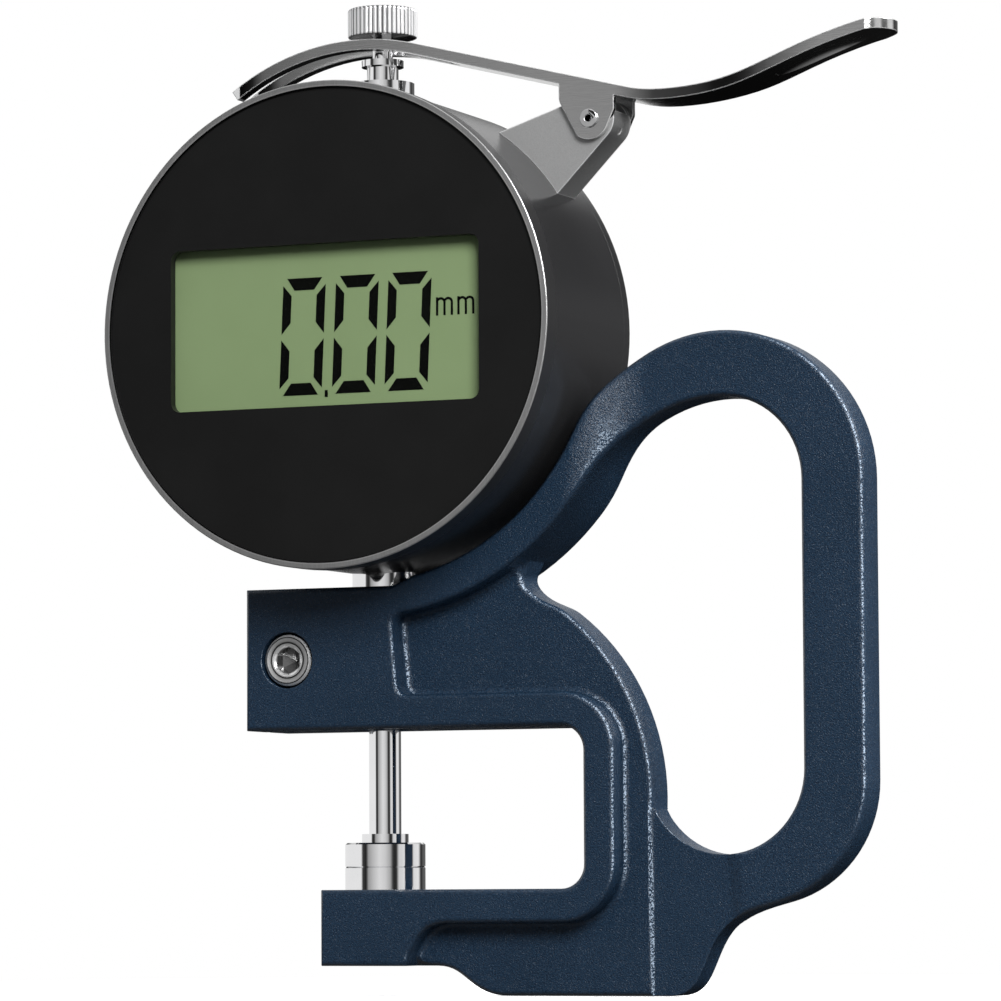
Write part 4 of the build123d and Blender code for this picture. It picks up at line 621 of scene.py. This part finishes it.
def fluted_chrome(radius):
    """Chrome of the knob with painted light: crests in near white as a highlight and valleys darker as
    shade, told apart by the distance from its axis.
    """
    material, tree, shader = new_material("fluted_chrome", roughness=0.10, metallic=0.55)
    distance = measure(tree, "LENGTH", measure(tree, "MULTIPLY", object_place(tree), (1.0, 1.0, 0.0)))
    # Painted light: crests are made near white as a highlight and valleys darker as shade.
    crest_painted_light = spread(tree, distance, (radius - FLUTE_DEPTH) * MM, (radius - 0.4 * FLUTE_DEPTH) * MM)
    feed(tree, shader["Base Color"], two_tone(tree, crest_painted_light, srgb(70, 70, 72), srgb(252, 252, 253)))
    feed(tree, shader["Roughness"], between(tree, patches_over(tree, per_metre=150.0), 0.08, 0.14))
    return material


def fine_textured(name, roughness, specks, depth, metallic=0.0):
    """A material with the fine even texture of paint or blasting, and its specks to colour it by."""
    material, tree, shader = new_material(name, roughness, metallic=metallic)
    speckle = speckle_over(tree, specks)
    patches = patches_over(tree, per_metre=60.0)
    feed(tree, shader["Roughness"], varied(tree, patches, roughness, share=0.08))
    rounded = rounded_edges(tree, TEXTURE_ROUNDING * MM)
    feed(tree, shader["Normal"], bumped(tree, speckle, depth * MM, under=rounded))
    return material, tree, shader, speckle


def case_enamel():
    """Satin dark enamel of the case."""
    material, tree, shader, speckle = fine_textured("dark_case_enamel", roughness=0.20, specks=5000.0,
                                                    depth=0.008)
    feed(tree, shader["Base Color"], two_tone(tree, speckle, srgb(39, 39, 40), srgb(46, 46, 47)))
    return material


def bracket_steel():
    """Blasted steel that is painted darker as shade behind its front face, with white edges that are wear
    and painted highlight together.
    """
    shine = 0.45
    material, tree, shader, speckle = fine_textured("blasted_steel", roughness=0.36, specks=9000.0,
                                                    depth=0.010, metallic=shine)
    # Painted shade: the sides behind the front face get a darker grey than the front.
    sides_painted_shade = two_tone(tree, speckle, grey(100), grey(205))
    front = two_tone(tree, speckle, grey(172), grey(204))
    skin_with_painted_shade = two_tone(tree, front_face(tree, "lever_bracket", BRACKET_FRONT), sides_painted_shade, front)
    # Edges made white, as wear and as painted highlight.
    bare_edge_highlight = sharp_edges(tree, BRACKET_EDGE)
    feed(tree, shader["Base Color"], two_tone(tree, bare_edge_highlight, skin_with_painted_shade, grey(254)))
    feed(tree, shader["Metallic"], between(tree, bare_edge_highlight, shine, 0.3))
    return material


def plain_plastic(name, dark, light, roughness, specular=0.5):
    """Moulded plastic or rubber with its tool's fine texture."""
    material, tree, shader = new_material(name, roughness, specular=specular)
    patches = patches_over(tree, per_metre=80.0)
    feed(tree, shader["Base Color"], two_tone(tree, patches, dark, light))
    feed(tree, shader["Roughness"], varied(tree, patches, roughness, share=0.07))
    feed(tree, shader["Normal"], bumped(tree, speckle_over(tree, per_metre=4000.0), 0.006 * MM))
    return material


def clear_pane():
    """Thin clear window: nearly all passes through, and a little shines."""
    material, tree, shader = new_material("clear_window", roughness=0.05, specular=0.25)
    patches = patches_over(tree, per_metre=40.0)
    feed(tree, shader["Base Color"], two_tone(tree, patches, srgb(18, 20, 18), srgb(26, 28, 26)))
    feed(tree, shader["Roughness"], between(tree, patches, 0.04, 0.08))
    shader["Alpha"].default_value = 0.03
    return material


def display_film():
    """Grey-green reflective display with slight unevenness from side to side."""
    material, tree, shader = new_material("display_film", roughness=0.5, specular=0.08)
    patches = patches_over(tree, per_metre=45.0)
    feed(tree, shader["Base Color"], two_tone(tree, patches, srgb(145, 167, 121), srgb(150, 172, 126)))
    feed(tree, shader["Normal"], bumped(tree, speckle_over(tree, per_metre=9000.0), 0.002 * MM))
    return material


def solder_mask():
    """Green board lacquer with tinned pads showing through in rows."""
    material, tree, shader = new_material("board_lacquer", roughness=0.35)
    rows = tree.nodes.new("ShaderNodeTexBrick")
    rows.inputs["Scale"].default_value = 400.0
    rows.inputs["Mortar Size"].default_value = 0.03
    rows.inputs["Color1"].default_value = srgb(18, 92, 52)
    rows.inputs["Color2"].default_value = srgb(22, 104, 58)
    rows.inputs["Mortar"].default_value = srgb(40, 130, 80)
    upright = tree.nodes.new("ShaderNodeMapping")
    upright.inputs["Rotation"].default_value = (math.radians(90), 0.0, 0.0)
    tree.links.new(object_place(tree), upright.inputs["Vector"])
    tree.links.new(upright.outputs["Vector"], rows.inputs["Vector"])
    feed(tree, shader["Base Color"], rows.outputs["Color"])
    feed(tree, shader["Normal"], bumped(tree, rows.outputs["Fac"], 0.02 * MM))
    return material


LAPPED_STEEL = polished_metal("lapped_steel", srgb(250, 250, 251), roughness=0.05)
HARD_CHROME = polished_metal("hard_chrome", srgb(250, 250, 251), roughness=0.04)
TURNED_BRASS = satin_metal("turned_brass", srgb(188, 152, 88), srgb(206, 172, 104), ALONG_Z, roughness=0.28)
PLATED_STEEL = satin_metal("plated_steel", srgb(150, 150, 152), srgb(178, 178, 180), ALONG_X, roughness=0.30)
SCREW_STEEL = satin_metal("screw_steel", srgb(96, 96, 98), srgb(122, 122, 124), ALONG_X, roughness=0.30,
                          metallic=0.6)
DRAWN_WIRE = satin_metal("drawn_wire", srgb(140, 140, 142), srgb(172, 172, 174), ALONG_Z, roughness=0.3)
CASE_ENAMEL = case_enamel()
BOARD_LACQUER = solder_mask()
CLEAR_WINDOW = clear_pane()
BLACK_MOULDING = plain_plastic("black_moulding", srgb(46, 46, 47), srgb(52, 52, 53), roughness=0.5)
BLACK_FACE = plain_plastic("black_face", srgb(26, 26, 26), srgb(29, 29, 29), roughness=0.30, specular=0.2)
CONTACT_RUBBER = plain_plastic("contact_rubber", srgb(150, 70, 62), srgb(160, 78, 70), roughness=0.6)
DISPLAY_INK = plain_plastic("display_ink", srgb(12, 13, 12), srgb(16, 17, 15), roughness=0.6, specular=0.0)

NODE_FINISHES = {
    "frame_casting": powder_coat(),
    "anvil": LAPPED_STEEL,
    "contact_point": LAPPED_STEEL,
    "clamp_screw": PLATED_STEEL,
    "stem": HARD_CHROME,
    "spindle": HARD_CHROME,
    "spindle_collar": HARD_CHROME,
    "lifting_knob": HARD_CHROME,
    "upper_bush": HARD_CHROME,
    "lower_bush": TURNED_BRASS,
    "case_shell": CASE_ENAMEL,
    "back_cover": CASE_ENAMEL,
    "bezel_ring": turned_bezel(),
    "face_panel": BLACK_FACE,
    "window_lens": CLEAR_WINDOW,
    "display": display_film(),
    "display_holder": BLACK_MOULDING,
    "contact_strips": CONTACT_RUBBER,
    "circuit_board": BOARD_LACQUER,
    "board_screws": PLATED_STEEL,
    "scale_carrier": BLACK_MOULDING,
    "scale_strip": BOARD_LACQUER,
    "carrier_screw": PLATED_STEEL,
    "guide_post": PLATED_STEEL,
    "spring_post": TURNED_BRASS,
    "return_spring": DRAWN_WIRE,
    "back_cover_screws": SCREW_STEEL,
    "battery_cap": BLACK_MOULDING,
    "battery": PLATED_STEEL,
    "battery_contact": TURNED_BRASS,
    "lever_bracket": bracket_steel(),
    "bracket_screws": PLATED_STEEL,
    "pivot_pin": HARD_CHROME,
    "lever_spring": DRAWN_WIRE,
    "lever": lever_steel(),
}


# Pieces

def finish_nodes():
    """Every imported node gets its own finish."""
    for name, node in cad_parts.items():
        node.data.materials.clear()
        node.data.materials.append(NODE_FINISHES[name])


def soften(name, width, angle=30.0):
    """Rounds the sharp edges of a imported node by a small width, and shades it smoothly."""
    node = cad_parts[name]
    weld = node.modifiers.new("weld", "WELD")
    weld.merge_threshold = JOIN_REACH * MM
    dissolve = node.modifiers.new("dissolve", "DECIMATE")
    dissolve.decimate_type = "DISSOLVE"
    dissolve.angle_limit = FLAT_ANGLE
    bevel = node.modifiers.new("bevel", "BEVEL")
    bevel.width = width * MM
    bevel.segments = 2
    bevel.limit_method = "ANGLE"
    bevel.angle_limit = math.radians(angle)
    bevel.use_clamp_overlap = False
    bevel.miter_outer = "MITER_ARC"
    node.modifiers.new("normals", "WEIGHTED_NORMAL")


def new_piece(name, mesh, finish, body, smooth=False):
    """A mesh of metres in place, riding on a body, with a finish."""
    piece = bpy.data.objects.new(name, mesh)
    bpy.context.scene.collection.objects.link(piece)
    mesh.materials.append(finish)
    for face in mesh.polygons:
        face.use_smooth = smooth
    if smooth:
        mesh.set_sharp_from_angle(angle=SMOOTH_ANGLE)
    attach(piece, body)
    return piece


def closed_mesh(name, shape):
    """The mesh of a finished bmesh, with all its faces pointing outwards."""
    bmesh.ops.recalc_face_normals(shape, faces=shape.faces)
    mesh = bpy.data.meshes.new(name)
    shape.to_mesh(mesh)
    shape.free()
    return mesh


def flat_shapes(outlines, front, thickness):
    """Thin upright plates with the given outlines, a list of (x, z) points each, in millimetres."""
    shape = bmesh.new()
    for outline in outlines:
        front_points = [shape.verts.new(Vector((x, front, z)) * MM) for x, z in outline]
        back_points = [shape.verts.new(Vector((x, front + thickness, z)) * MM) for x, z in outline]
        shape.faces.new(front_points)
        shape.faces.new(back_points[::-1])
        count = len(outline)
        for index in range(count):
            following = (index + 1) % count
            shape.faces.new((front_points[index], back_points[index], back_points[following],
                             front_points[following]))
    return closed_mesh("flat_shapes", shape)


def rectangle(left, bottom, right, top):
    """The four corners of a rectangle."""
    return [(left, bottom), (right, bottom), (right, top), (left, top)]


def zero_segments(left):
    """The six lit segments of a nought in a digit cell, slanted as the display shows them."""
    width, height, middle = DIGIT_WIDTH, DIGIT_HEIGHT, DIGIT_HEIGHT / 2
    top_bar = [(BAR_INSET, height), (width - BAR_INSET, height),
               (width - BAR_INSET - BAR_MITRE, height - BAR_HEIGHT),
               (BAR_INSET + BAR_MITRE, height - BAR_HEIGHT)]
    upper_left = [(0, height - SIDE_START), (BAR_WIDTH, height - SIDE_START - SIDE_MITRE),
                  (BAR_WIDTH, middle + MIDDLE_GAP + MIDDLE_MITRE), (0, middle + MIDDLE_GAP)]
    cell = []
    for bar, flips in ((top_bar, (False,)), (upper_left, (False, True))):
        for flip_x in flips:
            for flip_z in (False, True):
                cell.append([(width - x if flip_x else x, height - z if flip_z else z) for x, z in bar])
    return [[(left + x + DIGIT_SLANT * z, DIGIT_BOTTOM + z) for x, z in bar] for bar in cell]


def letter_m(left):
    """The outlines of a small m: three stems joined by two arches."""
    radius = (LETTER_ARCH + LETTER_STROKE) / 2
    spring = LETTER_HEIGHT - radius
    angles = [math.radians(angle) for angle in range(ARCH_SPAN, -1, -ARCH_STEP)]
    pieces = [rectangle(0, 0, LETTER_STROKE, LETTER_HEIGHT)]
    for arch in range(2):
        centre = arch * LETTER_ARCH + radius
        outer = [(centre + radius * math.cos(a), spring + radius * math.sin(a)) for a in angles]
        inner = [(centre + (radius - LETTER_STROKE) * math.cos(a),
                  spring + (radius - LETTER_STROKE) * math.sin(a)) for a in reversed(angles)]
        pieces.append(outer + inner)
        right = centre + radius
        pieces.append(rectangle(right - LETTER_STROKE, 0, right, spring))
    return [[(left + x, UNIT_BOTTOM + z) for x, z in outline] for outline in pieces]


def build_display():
    """The display's reading and unit in thin ink behind the window, and the window's clear pane."""
    low, high = (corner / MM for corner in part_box("window_lens"))
    digits = [bar for left in DIGIT_LEFT for bar in zero_segments(left)]
    digits.append(rectangle(POINT_LEFT, POINT_BOTTOM,
                            POINT_LEFT + POINT_WIDTH, POINT_BOTTOM + POINT_HEIGHT))
    letters = letter_m(UNIT_LEFT) + letter_m(UNIT_LEFT + UNIT_PITCH)
    for name, outlines in (("display_digits", digits), ("display_unit", letters)):
        new_piece(name, flat_shapes(outlines, high.y - INK_GAP - INK, INK), DISPLAY_INK, "frame")
    window = [rectangle(low.x, low.z, high.x, high.z)]
    pane = new_piece("window_pane", flat_shapes(window, low.y, high.y - low.y - PANE_GAP), CLEAR_WINDOW,
                     "frame")
    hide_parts("window_lens")


def turn_about(shape, axis, stations, count):
    """Adds a body turned about an axis: stations are (radius or radius by angle, distance along it)."""
    origin, across, up, along = axis
    rings = []
    for radius, distance in stations:
        if radius == 0.0:
            rings.append([shape.verts.new((origin + along * distance) * MM)])
            continue
        ring = []
        for step in range(count):
            turn = 2 * math.pi * step / count
            r = radius(turn) if callable(radius) else radius
            point = origin + across * (r * math.cos(turn)) + up * (r * math.sin(turn)) + along * distance
            ring.append(shape.verts.new(point * MM))
        rings.append(ring)
    for first, second in zip(rings, rings[1:]):
        for step in range(count):
            following = (step + 1) % count
            if len(first) == 1:
                shape.faces.new((first[0], second[following], second[step]))
            elif len(second) == 1:
                shape.faces.new((first[step], first[following], second[0]))
            else:
                shape.faces.new((first[step], first[following], second[following], second[step]))


def turned_mesh(name, axes, stations, count):
    """A mesh with the same turned body about each axis."""
    shape = bmesh.new()
    for axis in axes:
        turn_about(shape, axis, stations, count)
    return closed_mesh(name, shape)


def build_knob():
    """Fluted knob with a rounded top and a flat underside round the neck."""
    low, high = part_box("lifting_knob")
    radius = half_width("lifting_knob") / MM
    bottom, top = low.z / MM, high.z / MM

    def fluted(r):
        depth = FLUTE_DEPTH * max(0.0, (r - radius + KNOB_RIM) / KNOB_RIM)
        return lambda turn: r - depth * (0.5 + 0.5 * math.cos(KNOB_FLUTES * turn)) ** FLUTE_SHARPNESS

    rounding = [(radius - KNOB_ROUND * (1 - math.sin(a)), top - KNOB_ROUND * (1 - math.cos(a)))
                for a in (math.radians(22.5 * step) for step in range(4, -1, -1))]
    # The underside and its small rounding, the fluted side, and the top with a larger rounding
    profile = [(KNOB_NECK, bottom + 0.3), (KNOB_NECK, bottom), (radius - 0.30, bottom),
               (radius - 0.12, bottom), (radius - 0.03, bottom + 0.03), (radius, bottom + 0.12),
               (radius, bottom + 0.22), (radius, top - KNOB_ROUND - 0.1)] + rounding
    profile += [(radius - KNOB_ROUND - 0.1, top), (radius * 0.5, top)]
    stations = [(fluted(r), z) for r, z in profile] + [(0.0, top)]
    axis = (Vector((0, 0, 0)), RIGHT, BACK, UP)
    mesh = turned_mesh("knob", [axis], stations, KNOB_FLUTES * FLUTE_STEPS)
    knob = new_piece("fluted_knob", mesh, fluted_chrome(radius), "spindle", smooth=True)
    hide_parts("lifting_knob")


def hexagon(across_flats):
    """Radius of a hexagon at an angle, with two corners on top and bottom."""
    def radius(turn):
        return across_flats / 2 / math.cos((turn + math.pi / 6) % (math.pi / 3) - math.pi / 6)
    return radius


def build_clamp_screw():
    """Socket head with a broken rim, a chamfered hexagon and a drilled cone at its bottom."""
    low, high = (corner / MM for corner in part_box("clamp_screw"))
    middle = (low + high) / 2
    head = half_width("clamp_screw") / MM
    length = high.y - low.y
    socket = hexagon(CLAMP_HEX)
    # The cone and the hexagon from its floor up, the head's rim, its side and underside, and the shank
    stations = [(0.0, CLAMP_DRILLED), (socket, CLAMP_SOCKET), (socket, 0.34), (CLAMP_HEX * 0.63, 0.12),
                (CLAMP_HEX * 0.65, 0.10), (head - 0.42, 0.0), (head - 0.34, 0.02), (head - 0.06, 0.30),
                (head, 0.38), (head, CLAMP_HEAD), (CLAMP_SHANK, CLAMP_HEAD), (CLAMP_SHANK, length),
                (0.0, length)]
    axis = (Vector((middle.x, low.y, middle.z)), RIGHT, UP, BACK)
    mesh = turned_mesh("socket_screw", [axis], stations, CLAMP_FACETS)
    screw = new_piece("socket_screw", mesh, turned_screw(), "frame")
    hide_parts("clamp_screw")


def build_cover_screws():
    """Four countersunk screws with a small hexagon, flush with the back cover."""
    low, high = (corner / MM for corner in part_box("back_cover_screws"))
    length = high.y - low.y
    socket = hexagon(COVER_HEX)
    # The cone and the hexagon from its floor up, the head's face and broken edge, its cone and the shank
    stations = [(0.0, COVER_DRILLED), (socket, COVER_SOCKET), (socket, 0.14), (COVER_HEX * 0.66, 0.0),
                (COVER_HEAD - 0.14, 0.0), (COVER_HEAD - 0.06, 0.06),
                (COVER_SHANK, COVER_HEAD - COVER_SHANK), (COVER_SHANK, length), (0.0, length)]
    axes = [(Vector((x, high.y, z)), -RIGHT, UP, -BACK)
            for x in (low.x + COVER_HEAD, high.x - COVER_HEAD)
            for z in (low.z + COVER_HEAD, high.z - COVER_HEAD)]
    mesh = turned_mesh("countersunk_screws", axes, stations, COVER_FACETS)
    screws = new_piece("countersunk_screws", mesh, SCREW_STEEL, "frame")
    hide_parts("back_cover_screws")


# Stage

def shine_level(tree, x, y, z):
    """How bright the studio looks in shiny metal: a level by height, and the panels added to it."""
    angle = calculate(tree, "ARCTAN2", x, calculate(tree, "MULTIPLY", y, -1.0))
    turn = spread(tree, angle, -math.pi, math.pi)
    height = spread(tree, z, -1.0, 1.0)
    level = ramp(tree, height, STUDIO_HEIGHTS)
    for around, band in PANELS:
        stops = [((degrees + 180.0) / 360.0, value) for degrees, value in around]
        panels = calculate(tree, "MULTIPLY", ramp(tree, turn, stops), ramp(tree, height, band))
        level = calculate(tree, "ADD", level, panels)
    return level


def mixed_shaders(tree, share, first, second):
    """The first shader where the share is 0 and the second where it is 1."""
    mix = tree.nodes.new("ShaderNodeMixShader")
    for socket, value in zip(mix.inputs, (share, first, second)):
        tree.links.new(value, socket)
    return mix.outputs["Shader"]


def background(tree, **values):
    """A background shader with the given colour and strength."""
    node = tree.nodes.new("ShaderNodeBackground")
    for label, value in values.items():
        feed(tree, node.inputs[label], value)
    return node.outputs["Background"]


def build_world():
    """White surroundings to look at, panels for shiny metal and soft light that is weaker from below."""
    world = bpy.data.worlds.new("studio")
    bpy.context.scene.world = world
    world.use_nodes = True
    tree = world.node_tree
    tree.nodes.clear()
    x, y, z = parts(tree, tree.nodes.new("ShaderNodeTexCoord").outputs["Generated"])
    path = tree.nodes.new("ShaderNodeLightPath").outputs
    seen = background(tree, Color=WHITE)
    shine = background(tree, Strength=shine_level(tree, x, y, z))
    soft = spread(tree, z, *SOFT_HEIGHTS, *SOFT_LEVELS)
    lit = background(tree, Color=(0.96, 0.98, 1.0, 1.0), Strength=soft)
    straight = calculate(tree, "MAXIMUM", path["Is Camera Ray"], path["Is Transmission Ray"])
    on_surfaces = mixed_shaders(tree, path["Is Glossy Ray"], lit, shine)
    surroundings = mixed_shaders(tree, straight, on_surfaces, seen)
    tree.links.new(surroundings, tree.nodes.new("ShaderNodeOutputWorld").inputs["Surface"])


def build_floor():
    """Pale floor that fades into the white surroundings away from the gauge."""
    material, tree, shader = new_material("pale_floor", roughness=0.9, specular=0.0)
    shader["Emission Color"].default_value = WHITE
    seen = tree.nodes.new("ShaderNodeLightPath").outputs["Is Camera Ray"]
    feed(tree, shader["Emission Strength"], calculate(tree, "MULTIPLY", seen, FLOOR_GLOW))
    feed(tree, shader["Base Color"], two_tone(tree, seen, FLOOR_DARK, FLOOR_PALE))
    fade = spread(tree, measure(tree, "LENGTH", object_place(tree)), *FLOOR_FADE)
    clear = tree.nodes.new("ShaderNodeBsdfTransparent").outputs["BSDF"]
    tree.links.new(mixed_shaders(tree, fade, tree.nodes["Principled BSDF"].outputs["BSDF"], clear),
                   tree.nodes["Material Output"].inputs["Surface"])
    mesh = bpy.data.meshes.new("floor")
    corners = rectangle(-FLOOR_REACH, -FLOOR_REACH, FLOOR_REACH, FLOOR_REACH)
    mesh.from_pydata([(x, y, 0.0) for x, y in corners], [], [(0, 1, 2, 3)])
    mesh.materials.append(material)
    floor = bpy.data.objects.new("floor", mesh)
    floor.location = (FLOOR_MIDDLE * MM, 0.0, cad_box[0].z - FLOOR_DROP * MM)
    floor.visible_glossy = False
    bpy.context.scene.collection.objects.link(floor)


def area_light(name, turn, height, size, power):
    """A soft square lamp aimed at the gauge, at an angle from the front and a height angle."""
    turn, height = math.radians(turn), math.radians(height)
    level = math.cos(height)
    away = Vector((math.sin(turn) * level, -math.cos(turn) * level, math.sin(height)))
    data = bpy.data.lights.new(name, "AREA")
    data.shape = "SQUARE"
    data.size = size
    data.energy = power
    lamp = bpy.data.objects.new(name, data)
    lamp.location = TARGET + away * LAMP_DISTANCE
    lamp.rotation_mode = "QUATERNION"
    lamp.rotation_quaternion = (-away).to_track_quat("-Z", "Y")
    bpy.context.scene.collection.objects.link(lamp)
    return lamp


def build_lamps():
    """Lamps at the front right, the right side and behind; the last doesn't show in shiny metal."""
    area_light("key", turn=37.0, height=27.0, size=0.36, power=7.5)
    area_light("side", turn=108.0, height=34.0, size=0.40, power=8.0)
    area_light("back", turn=222.0, height=38.0, size=0.50, power=7.0).visible_glossy = False


def build_camera():
    """Camera below and to the right of the gauge's front, as the photograph was taken."""
    forward = Vector((-math.sin(CAMERA_TURN) * math.cos(CAMERA_PITCH),
                      math.cos(CAMERA_TURN) * math.cos(CAMERA_PITCH), math.sin(CAMERA_PITCH)))
    data = bpy.data.cameras.new("camera")
    data.lens = LENS
    data.sensor_width = SENSOR
    camera = bpy.data.objects.new("camera", data)
    camera.location = TARGET - forward * CAMERA_DISTANCE
    camera.rotation_mode = "QUATERNION"
    roll = Quaternion((0.0, 0.0, 1.0), CAMERA_ROLL)
    camera.rotation_quaternion = forward.to_track_quat("-Z", "Y") @ roll
    bpy.context.scene.collection.objects.link(camera)
    bpy.context.scene.camera = camera


finish_nodes()
soften("frame_casting", 0.10, angle=60.0)
soften("bezel_ring", 0.14)
soften("pivot_pin", 0.08)
soften("battery_cap", 0.15)
build_display()
build_knob()
build_clamp_screw()
build_cover_screws()
build_world()
build_floor()
build_lamps()
build_camera()
bpy.context.scene.view_settings.view_transform = "Standard"
